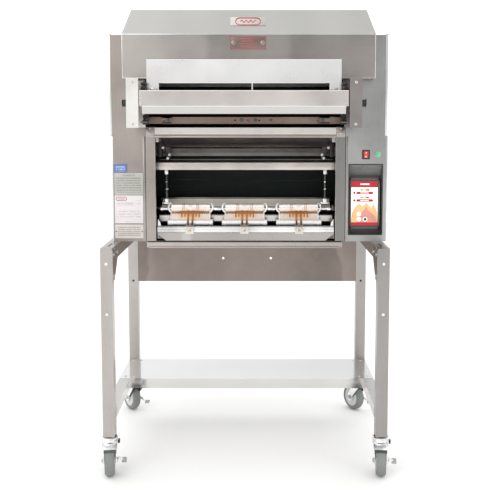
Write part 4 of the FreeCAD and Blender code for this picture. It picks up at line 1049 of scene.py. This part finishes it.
def loader_details():
    """Hinge fittings beside the chute, screws on the brackets, and the beam's end screws."""
    fittings, pins, screws = Shape(), Shape(), Shape()
    for side, sign in SIDES.items():
        low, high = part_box("loader_bracket_" + side)
        inner = high[0] if sign < 0 else low[0]
        x0, x1 = sorted((inner - sign * 0.002, inner - sign * 0.0165))
        for z0, z1, y0, y1 in ((1.252, 1.266, -0.262, -0.222), (1.268, 1.278, -0.252, -0.226),
                               (1.142, 1.158, -0.235, -0.19), (1.161, 1.172, -0.222, -0.196)):
            fittings.box((x0, y0, z0), (x1, y1, z1), 0.0012)
        for z0, z1 in ((1.142, 1.174), (1.251, 1.282)):
            fittings.box((x0 + 0.003, -0.232, z0), (x1 - 0.003, -0.224, z1), 0.001)
        middle = (x0 + x1) / 2
        for z in (1.259, 1.273, 1.15):
            pins.lathe((middle - 0.011, -0.246, z), RIGHT, [(0.003, 0), (0.003, 0.022), (0.0024, 0.0226)], 14)
        pins.tube([(middle, -0.158, 1.15 + 0.003 * k) for k in range(20)], 0.0022)
        pins.tube([
            (middle + 0.0048 * math.cos(1.3 * k), -0.158 + 0.0048 * math.sin(1.3 * k), 1.154 + 0.00085 * k)
            for k in range(58)
        ], 0.0009, 6)
        for z in (low[2] + 0.012, high[2] - 0.013):
            screws.screw(((low[0] + high[0]) / 2, low[1], z), FRONT, 0.0046, 0.0016)
    fittings.finish("loader_hinge_blocks", SCORCHED, "scorched_steel")
    pins.finish("loader_hinge_pins", STEEL["smoke_and_shade"], "scorched_steel")
    screws.finish("bracket_screws", SCREW, "zinc_plate")

    low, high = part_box("loader_pusher")
    ends = Shape()
    for x in (low[0] + 0.006, high[0] - 0.006):
        for z in (1.208, 1.225, 1.241):
            ends.screw((x, low[1], z), FRONT, 0.0028, 0.0014)
    ends.finish("beam_screws", SCREW, "zinc_plate", "pusher")
    edge = Shape()
    edge.rod(low[0] + 0.001, high[0] - 0.001, low[1] + 0.0008, high[2] - 0.0004, 0.0012)
    edge.rod(low[0] + 0.008, high[0] - 0.008, low[1] + 0.001, 1.2004, 0.0012)
    edge.finish("beam_folds", STEEL["bright"], "satin_steel", "pusher")

    low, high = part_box("chute_panel")
    y = low[1]
    Shape().rod(-0.28, 0.274, y, 1.2764, 0.001).rod(low[0], high[0], y, 1.3516, 0.001).finish(
        "chute_folds", STEEL["bright"], "satin_steel")
    tabs = Shape()
    for x in (low[0] + 0.024, high[0] - 0.024):
        tabs.box((x - 0.012, y - 0.0015, 1.25), (x + 0.012, y, 1.261), 0.0006)
        tabs.screw((x, y - 0.0015, 1.2555), FRONT, 0.0035, 0.0016)
    tabs.finish("chute_tabs", STEEL["beam"], "satin_steel")


def loader_knobs():
    """Lobed thumb knobs with a domed face, each replacing its plain CAD knob."""
    lobes, steps = 6, 72
    for side, sign in SIDES.items():
        low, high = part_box("loader_knob_" + side)
        body = "knob_" + side
        _, y, z = Vector(JOINTS["knob_%s_turn" % side]["pos_m"])
        face = high[0] if sign > 0 else low[0]
        back = face - sign * 0.0157
        rings = []
        for depth, swell in ((0.0, 0.86), (0.002, 0.98), (0.011, 1.0), (0.0143, 0.93), (0.0157, 0.78)):
            ring = []
            for angle in (TURN * k / steps for k in range(steps)):
                radius = (0.0112 + 0.0013 * math.cos(lobes * angle)) * swell
                ring.append((back + sign * depth, y + radius * math.cos(angle), z + radius * math.sin(angle)))
            rings.append(ring)
        out = (sign, 0, 0)
        knob = Shape().loft(rings).lathe((face - sign * 0.0004, y, z), out,
                                         [(0.005, -0.001), (0.005, 0.0), (0.0042, 0.0004), (0, 0.0004)], 20)
        knob.finish("thumb_knob_" + side, BLACK, "black_plastic", body, replaces=("loader_knob_" + side,))
        washer = Shape().lathe((face - sign * 0.0016, y, z), out, [
            (0.006, 0), (0.0158, 0), (0.0165, 0.0005), (0.0158, 0.0012), (0.006, 0.0014)], 40)
        washer.finish("knob_washer_" + side, SCREW, "zinc_plate", body)
        stud = Shape().lathe((back - sign * 0.0115, y, z), out, [(0.0036, 0), (0.004, 0.0006), (0.004, 0.012)], 18)
        stud.finish("knob_stud_" + side, SCREW, "zinc_plate", body)


# ---------------------------------------------------------------- controls

def screen_graphics():
    """Generic controls on the lit display: bars, buttons, a flame shape and round icons."""
    low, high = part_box("touch_screen")
    face = low[1]
    x0, x1, z0, z1 = 0.3599, 0.4506, 0.798, 0.95
    width, height = x1 - x0, z1 - z0
    tile = 0.0002

    def place(a, b, depth):
        """A point between shares of the lit area, measured from its lower left corner."""
        return x0 + a * width, face - depth, z0 + b * height

    def panel(shape, a0, a1, b0, b1, depth):
        shape.box(place(a0, b0, depth), place(a1, b1, depth - tile))

    def disc(shape, a, b, radius, depth):
        shape.lathe(place(a, b, depth - tile), FRONT, [(radius, 0), (radius, tile)])

    def flame(name, look, points, depth):
        shape = Shape().prism("y", [place(a, b, 0)[::2] for a, b in points], face - depth, face - depth + tile)
        shape.finish(name, SCREEN[look], "screen_glass")

    body, red, green, yellow, icons, dark = (Shape() for _ in range(6))
    panel(body, 0.0, 1.0, 0.07, 0.86, 0.0004)
    panel(red, 0.0, 1.0, 0.86, 1.0, 0.0004)
    panel(red, 0.0, 1.0, 0.0, 0.07, 0.0004)
    panel(icons, 0.34, 0.68, 0.915, 0.945, 0.0006)
    for b in (0.735, 0.565):
        panel(red, 0.24, 0.78, b - 0.028, b + 0.028, 0.0006)
        for a, radius in ((0.24, 0.0043), (0.78, 0.0043), (0.12, 0.004)):
            disc(red, a, b, radius, 0.00062)
        panel(icons, 0.34, 0.66, b - 0.008, b + 0.008, 0.0008)
    for b in (0.785, 0.615):
        for shape, a0, a1 in ((green, 0.34, 0.44), (yellow, 0.44, 0.56), (red, 0.56, 0.68)):
            panel(shape, a0, a1, b, b + 0.035, 0.0006)
    body.finish("screen_body", SCREEN["white"], "screen_glass")
    red.finish("screen_red", SCREEN["red"], "screen_glass")
    green.finish("screen_green", SCREEN["green"], "screen_glass")
    yellow.finish("screen_yellow", SCREEN["yellow"], "screen_glass")
    flame("screen_flame_outer", "orange", (
        (0.0, 0.07), (1.0, 0.07), (0.98, 0.3), (0.9, 0.42), (0.84, 0.5), (0.76, 0.4), (0.66, 0.46), (0.58, 0.52),
        (0.44, 0.44), (0.3, 0.5), (0.16, 0.42), (0.04, 0.3)), 0.0006)
    flame("screen_flame_inner", "pink", (
        (0.22, 0.07), (0.98, 0.07), (0.92, 0.2), (0.78, 0.28), (0.66, 0.34), (0.56, 0.43), (0.46, 0.33),
        (0.34, 0.26), (0.26, 0.16)), 0.0008)
    for a, b, radius in ((0.3, 0.26, 0.0075), (0.3, 0.14, 0.0075), (0.53, 0.14, 0.0078)):
        disc(icons, a, b, radius, 0.001)
    icons.finish("screen_icons", SCREEN["white"], "screen_glass")
    # A faint glowing green strip inside the bezel's right edge: painted reflection.
    Shape().box((high[0] - 0.0022, face - 0.0016, z0 + 0.004), (high[0] - 0.0012, face - 0.0008, z1 - 0.006),
                0.0003).finish("screen_edge_glint", SCREEN["glint"], "screen_glass")
    disc(dark, 0.53, 0.14, 0.005, 0.0012)
    for b in (0.26, 0.14):
        panel(dark, 0.27, 0.33, b - 0.006, b + 0.006, 0.0012)
    dark.finish("screen_symbols", BLACK, "black_plastic")


def control_details():
    """Rolled rim round the recess, display bezel, rocker marks, and the lamp's collar."""
    low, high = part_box("control_recess")
    rim = Shape()
    inset = 0.001
    left, right, bottom, top = low[0] + inset, high[0] - inset, low[2] + inset, high[2] - inset
    corners = [(x, low[1] - 0.0002, z) for x, z in ((left, bottom), (right, bottom), (right, top), (left, top))]
    for first, second in zip(corners, corners[1:] + corners[:1]):
        rim.tube([first, second], 0.0017)
    rim.finish("recess_rim", BLACK, "black_plastic")
    visor = Shape().prism("x", [
        (low[1] + 0.0008, high[2] - 0.0022), (high[1] - 0.0022, high[2] - 0.0022),
        (high[1] - 0.0022, high[2] - 0.04), (low[1] + 0.019, high[2] - 0.016)], low[0] + 0.0022, high[0] - 0.0022)
    visor.finish("recess_visor", VISOR, "dark_plastic")
    low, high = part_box("touch_screen")
    bezel = Shape()
    outline(bezel, (low[0], low[2]), (high[0], high[2]), (0.009, 0.009, 0.0035, 0.0045),
            low[1] - 0.0012, low[1] + 0.001, 0.0005)
    bezel.finish("screen_frame", DARK, "dark_plastic")

    low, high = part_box("rocker_switch")
    middle = (low[0] + high[0]) / 2
    marks = Shape().box((middle - 0.0008, low[1] + 0.0006, 1.044), (middle + 0.0008, low[1] + 0.0022, 1.05), 0.0002,
                        turn=Matrix.Rotation(0.18, 4, "X"))
    marks.lathe((middle, -0.1447, 1.035), FRONT, [(0.003, 0), (0.003, 0.0006), (0.0021, 0.0006), (0.0021, 0)], 24)
    marks.finish("rocker_marks", SCREEN["white"], "red_plastic", "rocker")
    low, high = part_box("indicator_lamp")
    centre = ((low[0] + high[0]) / 2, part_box("lower_cabinet_right")[0][1], (low[2] + high[2]) / 2)
    collar = Shape().lathe(centre, FRONT, [
        (0.0087, 0), (0.0104, 0), (0.0104, 0.0012), (0.0096, 0.0024), (0.0087, 0.0024)], 36)
    collar.finish("lamp_collar", SCREW, "zinc_plate")


# ---------------------------------------------------------------- chamber

def chamber_liners():
    """Dark ribbed liners on the chamber's side walls and under its hood, near-black as painted shade as well as soot.
    """
    low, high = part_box("floor_pan")
    wall, top = 0.3373, 1.285
    shape = Shape()
    for sign in (-1, 1):
        shape.box((sign * wall, low[1] + 0.031, high[2]), (sign * (wall - 0.0012), high[1] - 0.003, top))
        for k in range(7):
            y = -0.085 + 0.055 * k
            shape.box((sign * (wall - 0.001), y, 0.78), (sign * (wall - 0.0026), y + 0.01, 1.26), 0.0006)
    shape.box((-0.336, low[1] + 0.034, high[2]), (0.336, high[1] - 0.003, high[2] + 0.001))
    shape.box((-0.336, high[1] - 0.0038, high[2]), (0.336, high[1] - 0.0018, top))
    shape.finish("chamber_liners", SOOT_AND_SHADE_LINER, "scorched_steel")


def chamber_bars():
    """Cross rails, slanted links and pivots at the top of the opening."""
    rails = Shape().rod(-0.3, 0.3, -0.066, 1.0205, 0.0026, 10)
    rails.strip([(-0.02, 1.044), (-0.025, 1.057), (-0.012, 1.0605), (-0.002, 1.059)], 0.0016, 0.268)
    rails.finish("chamber_rails", STEEL["smoke_and_shade"], "brushed_steel")
    plate = Shape().strip([(-0.069, 0.856), (-0.065, 0.862), (-0.03, 0.8735), (-0.023, 0.879)], 0.0015, 0.292)
    plate.finish("discharge_plate", STEEL["sooty"], "brushed_steel")
    sill = Shape().box((-0.3, -0.02, 0.874), (0.3, -0.0185, 0.885), 0.0005)
    sill.finish("belt_sill", STEEL["smoke_and_shade"], "scorched_steel")

    low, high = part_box("discharge_flap")
    _, y, z = JOINTS["flap_swing"]["pos_m"]
    reach = high[0] - 0.001
    flap = Shape().strip([(y - 0.001, high[2] - 0.003)] + [(low[1] + a, b) for a, b in (
        (0.0016, high[2] - 0.0035), (0.0004, high[2] - 0.0055), (0.0004, low[2] + 0.004), (0.0012, low[2] + 0.0016),
        (0.004, low[2] + 0.0006), (0.008, low[2] + 0.003))], 0.0014, reach)
    flap.finish("flap_blade", STEEL["flap"], "brushed_steel", "flap", replaces=("discharge_flap",))
    hinge = Shape().rod(-reach, reach, y, z, 0.003, 14)
    for k in range(12):
        hinge.lathe((-0.308 + 0.054 * k, y, z), RIGHT,
                    [(0.003, 0), (0.0036, 0.0006), (0.0036, 0.0214), (0.003, 0.022)], 14)
    hinge.finish("flap_hinge", STEEL["smoke_and_shade"], "scorched_steel", "flap")
    scraper = Shape().strip([(-0.07, 0.804), (-0.074, 0.808), (-0.074, 0.827), (-0.07, 0.83)], 0.0015, 0.3)
    scraper.finish("scraper_bar", STEEL["bar"], "brushed_steel")

    links, pivots = Shape(), Shape()
    for sign in (-1, 1):
        for y, top, foot, wide in ((-0.078, 1.094, 1.026, 0.0075), (-0.046, 1.086, 1.026, 0.006),
                                   (-0.062, 1.06, 1.028, 0.0045)):
            links.link(Vector((sign * 0.3, y, top)), Vector((sign * 0.266, y, foot)),
                       (wide / 2, 0.003, 0), "ZY", 0.0012)
        links.box((sign * 0.276, -0.084, 1.02), (sign * 0.259, -0.066, 1.032), 0.003)
        x0, x1 = sorted((sign * 0.303, sign * 0.288))
        links.box((x0, -0.088, 1.03), (x1, -0.06, 1.098), 0.002)
        for k in range(3):
            y, z = -0.07 + 0.012 * k, 1.04 + 0.016 * k
            links.box((x0 - 0.004, y, z), (x1 + 0.002, y + 0.006, z + 0.012), 0.001)
        for x, z in ((0.268, 1.026), (0.262, 1.038), (0.296, 1.092), (0.284, 1.062)):
            pivots.screw((sign * x, -0.088, z), FRONT, 0.0034, 0.003, hexagon=True)
    links.finish("chamber_links", SCORCHED, "scorched_steel")
    pivots.finish("chamber_pivots", SCREW, "zinc_plate")


def hangers():
    """Upright adjuster rods with springs, nuts and feet at both ends of the belt."""
    turns, steps, coil = 13, 12, 0.0056
    apart, y = 0.2745, -0.0735
    for side, sign in SIDES.items():
        x = sign * apart
        rod = Shape().lathe((x, y, 0.868), UP, [(0.003, 0), (0.003, 0.124), (0.0022, 0.126)], 14)
        rod.tube([
            (x + coil * math.cos(TURN * k / steps), y + coil * math.sin(TURN * k / steps),
             0.884 + 0.086 * k / (turns * steps))
            for k in range(turns * steps + 1)
        ], 0.0011, 6)
        rod.finish("hanger_rod_" + side, STEEL["smoke_and_shade"], "scorched_steel")
        bright = Shape()
        for z, radius in ((0.918, 0.006), (0.942, 0.0055)):
            bright.lathe((x, y, z), UP, [(0.003, 0), (radius, 0), (radius, 0.0035), (0.003, 0.0035)], 6)
        for x0, x1, deep, z0, z1, bevel in (
                (-0.0165, 0.0165, 0.007, 0.868, 0.8732, 0.0012), (-0.0072, 0.0072, 0.0075, 0.8732, 0.8862, 0.002),
                (-0.0062, 0.0062, 0.0065, 0.9705, 0.987, 0.0015), (-0.0035, 0.0085, 0.006, 0.987, 0.996, 0.0015)):
            bright.box((x + x0, y - deep, z0), (x + x1, y + deep, z1), bevel)
        for k in (-1, 1):
            bright.screw((x + k * 0.0122, y, 0.8732), UP, 0.003, 0.002)
        bright.finish("hanger_fittings_" + side, ZINC, "zinc_plate")


def roller_details():
    """Collars and a sprocket on each roller's shaft."""
    teeth, outer, root = 14, 0.015, 0.0118
    for name in ("front", "rear"):
        _, y, z = JOINTS[name + "_roller_spin"]["pos_m"]
        collars = Shape()
        for sign in (-1, 1):
            collars.lathe((sign * 0.2935, y, z), (sign, 0, 0),
                          [(0.0052, 0), (0.0095, 0), (0.0095, 0.008), (0.0085, 0.009), (0.0052, 0.009)], 28)
        points = []
        for k in range(teeth):
            for part, radius in ((0.0, root), (0.25, root), (0.42, outer), (0.58, outer), (0.75, root)):
                angle = TURN * (k + part) / teeth
                points.append((y + radius * math.cos(angle), z + radius * math.sin(angle)))
        collars.prism("x", points, 0.304, 0.3064)
        collars.finish(name + "_shaft_collars", STEEL["bright"], "bright_steel", name + "_drum")


def trough():
    """Drip trough with a fat rolled lip, a chamfered front and turned-up ends."""
    (x0, y0, z0), (x1, y1, z1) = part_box("drip_trough")
    middle, half = (x0 + x1) / 2, (x1 - x0) / 2
    crest = z1 + 0.004
    lip = Shape().strip([(y0 + a, crest - drop) for a, drop in (
        (0.004, 0.023), (0.0012, 0.02), (0.0, 0.015), (0.0005, 0.0085), (0.0028, 0.0038), (0.0065, 0.0009),
        (0.011, 0.0), (0.015, 0.0015), (0.017, 0.005), (0.0175, 0.02))], -0.0015, half, middle)
    lip.finish("trough_lip", STEEL["lip"], "satin_steel", replaces=("drip_trough",))
    pan = Shape().strip([(y0 + 0.01, z1 - 0.016), (y0 + 0.01, z0 + 0.004), (y0 + 0.013, z0 + 0.001),
                         (y1 - 0.003, z0 + 0.001), (y1, z0 + 0.004), (y1, z1 - 0.003)], 0.0015, half - 0.001, middle)
    pan.finish("trough_pan", STEEL["smoke_and_shade"], "satin_steel")
    top = z1 - 0.0185
    face = Shape().prism("y", [(x0, top), (x0, z0 + 0.021), (x0 + 0.029, z0 - 0.002), (x1 - 0.029, z0 - 0.002),
                               (x1, z0 + 0.021), (x1, top)], y0 + 0.0012, y0 + 0.0028)
    face.rod(x0 + 0.001, x1 - 0.001, y0 + 0.0012, top, 0.0009)
    face.finish("trough_face", STEEL["face"], "satin_steel")
    ends = Shape()
    for sign in (-1, 1):
        ends.prism("x", [(y0 + 0.012, z0 + 0.003), (y1 - 0.002, z0 + 0.003), (y1 - 0.002, z1 - 0.004),
                         (y0 + 0.034, z1 + 0.022), (y0 + 0.022, z1 + 0.026), (y0 + 0.01, z1)],
                   *sorted((sign * 0.2985, sign * 0.3)))
        ends.prism("y", [(sign * 0.3, z1 - 0.002), (sign * 0.3, z1 + 0.024), (sign * 0.2925, z1 + 0.016),
                         (sign * 0.289, z1 + 0.001)], y0 + 0.0185, y0 + 0.0198)
    ends.finish("trough_ends", STEEL["bright"], "satin_steel")


def guide(side):
    """One saddle: rolled top, heat-tinted slope, lower roll, runners, fork and lip clip."""
    low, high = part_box("discharge_guide_" + side)
    body = "guide_" + side
    middle = (low[0] + high[0]) / 2
    half = (high[0] - low[0]) / 2
    upper = half - 0.011
    sheet = 0.0013
    axle = (-0.1085, 0.807)
    over = [(-0.0795, 0.848), (-0.0795, 0.86), (-0.0812, 0.8655), (-0.085, 0.8688), (-0.0895, 0.8692),
            (-0.0938, 0.867), (-0.0965, 0.8625), (-0.0976, 0.8565), (-0.0974, 0.85), (-0.0962, 0.8445),
            (-0.0948, 0.8425)]
    roll = Shape().strip(over, sheet, upper, middle)
    roll.finish("guide_roll_" + side, ROLLED, "tinted_steel", body, replaces=("discharge_guide_" + side,))
    slope = Shape().strip([(-0.095, 0.8428), (-0.0975, 0.8415), (-0.103, 0.833), (-0.1085, 0.8165)],
                          sheet, upper, middle)
    slope.finish("guide_slope_" + side, TINTED, "tinted_steel", body)
    lower = Shape().strip(arc(axle, 0.0098, 80, 290, 18) + [(-0.101, 0.7975)], sheet, half - 0.002, middle)
    for sign in (-1, 1):
        lower.lathe((middle + sign * half, *axle), (sign, 0, 0), [
            (0.0085, -0.015), (0.0108, -0.014), (0.0108, -0.0012), (0.0096, 0), (0, 0)])
        lower.lathe((middle + sign * (half - 0.03), *axle), (sign, 0, 0),
                    [(0.0098, 0), (0.0103, 0.0006), (0.0098, 0.0012)])
    lower.finish("guide_lower_roll_" + side, STEEL["roll"], "bright_steel", body)

    runners = Shape()
    for sign in (-1, 1):
        for radius, segments, route in (
                (0.0036, 12, ((0.0, -0.083, 0.868), (0.0045, -0.086, 0.8692), (0.0085, -0.09, 0.865),
                              (0.01, -0.0935, 0.8575), (0.0085, -0.096, 0.85), (0.0035, -0.0985, 0.844),
                              (0.0, -0.0995, 0.842))),
                (0.0014, 8, ((0.0002, -0.1, 0.842), (0.0006, -0.106, 0.831), (0.0008, -0.111, 0.818)))):
            runners.tube([(middle + sign * (upper + a), y, z) for a, y, z in route], radius, segments)
    runners.finish("guide_runners_" + side, STEEL["roll"], "bright_steel", body)

    fork = Shape()
    prong = [(-0.1004, 0.8454), (-0.1064, 0.8354), (-0.1139, 0.8214), (-0.1209, 0.8094), (-0.1294, 0.8029),
             (-0.1384, 0.7999)]
    root = [(-0.0985, 0.844), (-0.1045, 0.8335)]
    for sign in (-1, 1):
        fork.strip(prong, 0.0024, 0.0031, middle + sign * 0.0078)
        fork.strip(root + [(-0.108, 0.8255)], 0.0026, 0.0022, middle + sign * 0.03)
        fork.strip(root + [(-0.107, 0.8275)], 0.0026, 0.0018, middle + sign * 0.0195)
    fork.strip([(-0.0968, 0.845), (-0.0992, 0.8405), (-0.1012, 0.8368)], 0.0028, 0.034, middle)
    fork.finish("guide_fork_" + side, FORK, "tinted_steel", body)

    straps = Shape()
    for offset, wide in ((-0.0265, 0.0012), (0.0265, 0.0012), (-0.0205, 0.0008), (0.0205, 0.0008)):
        straps.strip(over[2:], -0.0012, wide, middle + offset)
    straps.tube([
        (middle + x, y - 0.0006, z) for x, y, z in (
            (-0.013, -0.0972, 0.847), (-0.013, -0.0942, 0.8662), (-0.007, -0.094, 0.8666), (0.0, -0.0972, 0.8595),
            (0.007, -0.094, 0.8666), (0.013, -0.0942, 0.8662), (0.013, -0.0972, 0.847))
    ], 0.0009)
    straps.finish("guide_straps_" + side, STRAP, "tinted_steel", body)

    clip = Shape().strip([(-0.129, 0.8), (-0.1385, 0.7995), (-0.1432, 0.7955), (-0.144, 0.788), (-0.1436, 0.772)],
                         -0.0016, 0.0135, middle)
    for x in (middle - 0.0128, middle + 0.0128):
        clip.box((x - 0.0012, -0.146, 0.7725), (x + 0.0012, -0.1405, 0.7965), 0.0005)
    clip.finish("guide_clip_" + side, STEEL["bar"], "bright_steel", body)
    button = Shape().lathe((middle, -0.144, 0.7835), FRONT,
                           [(0.0052, 0), (0.0052, 0.0014), (0.004, 0.0022), (0, 0.0022)], 24)
    button.finish("guide_button_" + side, FORK, "tinted_steel", body)


def guide_shaft():
    """Fixed bright shaft that the guides sit on, with collars between them."""
    y, z = -0.088, 0.8515
    shape = Shape().rod(-0.299, 0.299, y, z, 0.0056, 20)
    edges = [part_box("discharge_guide_" + side) for side in ("left", "middle", "right")]
    gaps = [((first[1][0] + second[0][0]) / 2) for first, second in zip(edges, edges[1:])]
    for x0, x1 in [(-0.299, -0.283)] + [(gap - 0.0125, gap + 0.0125) for gap in gaps] + [(0.279, 0.299)]:
        wide = x1 - x0
        shape.lathe((x0, y, z), RIGHT, [
            (0.005, 0), (0.0072, 0.001), (0.008, 0.003), (0.008, wide - 0.003), (0.0072, wide - 0.001),
            (0.005, wide)], 28)
    shape.finish("guide_shaft", STEEL["bright"], "bright_steel")


def tray_front():
    """Front band of the grease tray, with chamfered ends and a finger fold."""
    (x0, y0, z0), (x1, _, z1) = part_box("grease_tray")
    y = y0 + 0.0065
    band = Shape().prism("y", [(x0 + 0.004, z1 - 0.0005), (x0 + 0.004, z0 + 0.006), (x0 + 0.01, z0), (x1 - 0.01, z0),
                               (x1 - 0.004, z0 + 0.006), (x1 - 0.004, z1 - 0.0005)], y, y + 0.0022)
    band.rod(x0 + 0.012, x1 - 0.012, y0 + 0.001, z0 + 0.001, 0.0016)
    band.finish("tray_band", STEEL["tray"], "brushed_steel", "tray")


def grease():
    """A few baked-on drips and crumbs on the trough's floor."""
    shape = Shape()
    seed = 7
    for _ in range(46):
        draws = []
        for _ in range(2):
            seed = (seed * 1103515245 + 12345) % 2147483648
            draws.append(seed / 2147483648)
        a, b = draws
        radius = 0.0012 + 0.0028 * b
        shape.lathe((-0.28 + 0.56 * a, -0.115 + 0.045 * b, 0.7525), UP,
                    [(radius, 0), (radius * 0.8, 0.0006), (0, 0.001)], 10)
    shape.finish("baked_drips", SCORCHED, "scorched_steel")


# ---------------------------------------------------------------- stage

def studio():
    """Pale floor, pale surroundings, soft lights and the camera."""
    scene = bpy.context.scene
    scene.view_settings.view_transform = "Standard"
    scene.world = bpy.data.worlds.new("studio")
    scene.world.use_nodes = True
    tree = scene.world.node_tree
    surround, output = tree.nodes["Background"], tree.nodes["World Output"]

    def ranged(value, *limits):
        made = tree.nodes.new("ShaderNodeMapRange")
        tree.links.new(value, made.inputs["Value"])
        for socket, number in zip(("From Min", "From Max", "To Min", "To Max"), limits):
            made.inputs[socket].default_value = number
        return made.outputs[0]

    def times(first, second):
        made = tree.nodes.new("ShaderNodeMath")
        made.operation = "MULTIPLY"
        tree.links.new(first, made.inputs[0])
        tree.links.new(second, made.inputs[1])
        return made.outputs[0]

    # What the metal mirrors: a bright ceiling over dimmer walls, the right-hand one dimmest.
    way = tree.nodes.new("ShaderNodeTexCoord").outputs["Generated"]
    split = tree.nodes.new("ShaderNodeSeparateXYZ")
    tree.links.new(way, split.inputs[0])
    walls = times(ranged(split.outputs["Z"], 0.15, 0.85, 0.75, 1.45),
                  ranged(split.outputs["X"], -0.3, 0.3, 1.16, 0.84))
    tree.links.new(walls, surround.inputs["Strength"])
    surround.inputs["Color"].default_value = (0.97, 0.975, 0.98, 1.0)
    # What lights the floor, and what the camera sees behind the object: plain white.
    plain = tree.nodes.new("ShaderNodeBackground")
    plain.inputs["Color"].default_value = (1.0, 1.0, 1.0, 1.0)
    plain.inputs["Strength"].default_value = 1.2
    mirrored = tree.nodes.new("ShaderNodeLightPath").outputs["Is Glossy Ray"]
    chosen = tree.nodes.new("ShaderNodeMixShader")
    for place, source in enumerate((mirrored, plain.outputs[0], surround.outputs[0])):
        tree.links.new(source, chosen.inputs[place])
    tree.links.new(chosen.outputs[0], output.inputs["Surface"])

    floor = bpy.data.meshes.new("floor")
    reach = 30.0
    floor.from_pydata([(-reach, -reach, 0), (reach, -reach, 0), (reach, reach, 0), (-reach, reach, 0)],
                      [], [(0, 1, 2, 3)])
    paint = Paint("floor_paper", roughness=0.75)
    paint.colour(paint.mixed(paint.noise(0.8), (0.94, 0.94, 0.935), (0.97, 0.97, 0.965)))
    floor.materials.append(paint.material)
    ground = bpy.data.objects.new("floor", floor)
    bpy.context.collection.objects.link(ground)

    # Name, place, the point it faces, size in metres and power in watts.
    for name, place, target, size, power in (
            ("key_softbox", (-2.6, -3.4, 2.6), (0.0, 0.0, 0.9), 2.6, 40.0),
            ("fill_softbox", (3.0, -2.4, 2.0), (0.0, 0.0, 0.9), 2.0, 14.0),
            ("top_softbox", (0.0, 1.6, 4.6), (0.0, 0.2, 0.8), 2.6, 22.0)):
        lamp = bpy.data.lights.new(name, "AREA")
        lamp.size = size
        lamp.energy = power
        holder = bpy.data.objects.new(name, lamp)
        holder.location = place
        holder.rotation_euler = (Vector(target) - Vector(place)).to_track_quat("-Z", "Y").to_euler()
        bpy.context.collection.objects.link(holder)

    camera = bpy.data.cameras.new("camera")
    camera.sensor_width = 36.0
    camera.lens = 60.0
    camera.shift_x = -0.0132
    camera.shift_y = -0.1
    eye = bpy.data.objects.new("camera", camera)
    eye.location = (0.0374, -2.953, 1.15)
    eye.rotation_euler = (math.radians(90 - 5.34), 0.0, 0.0)
    bpy.context.collection.objects.link(eye)
    scene.camera = eye


paint_nodes()
casters()
for build in (stand_details, folded_edges, badges, label_plates, side_and_back_details, exhaust_mesh,
              front_frame_details, loader_details, loader_knobs, screen_graphics, control_details,
              chamber_liners, chamber_bars, hangers, roller_details, trough):
    build()
for side in ("left", "middle", "right"):
    guide(side)
guide_shaft()
tray_front()
grease()
studio()
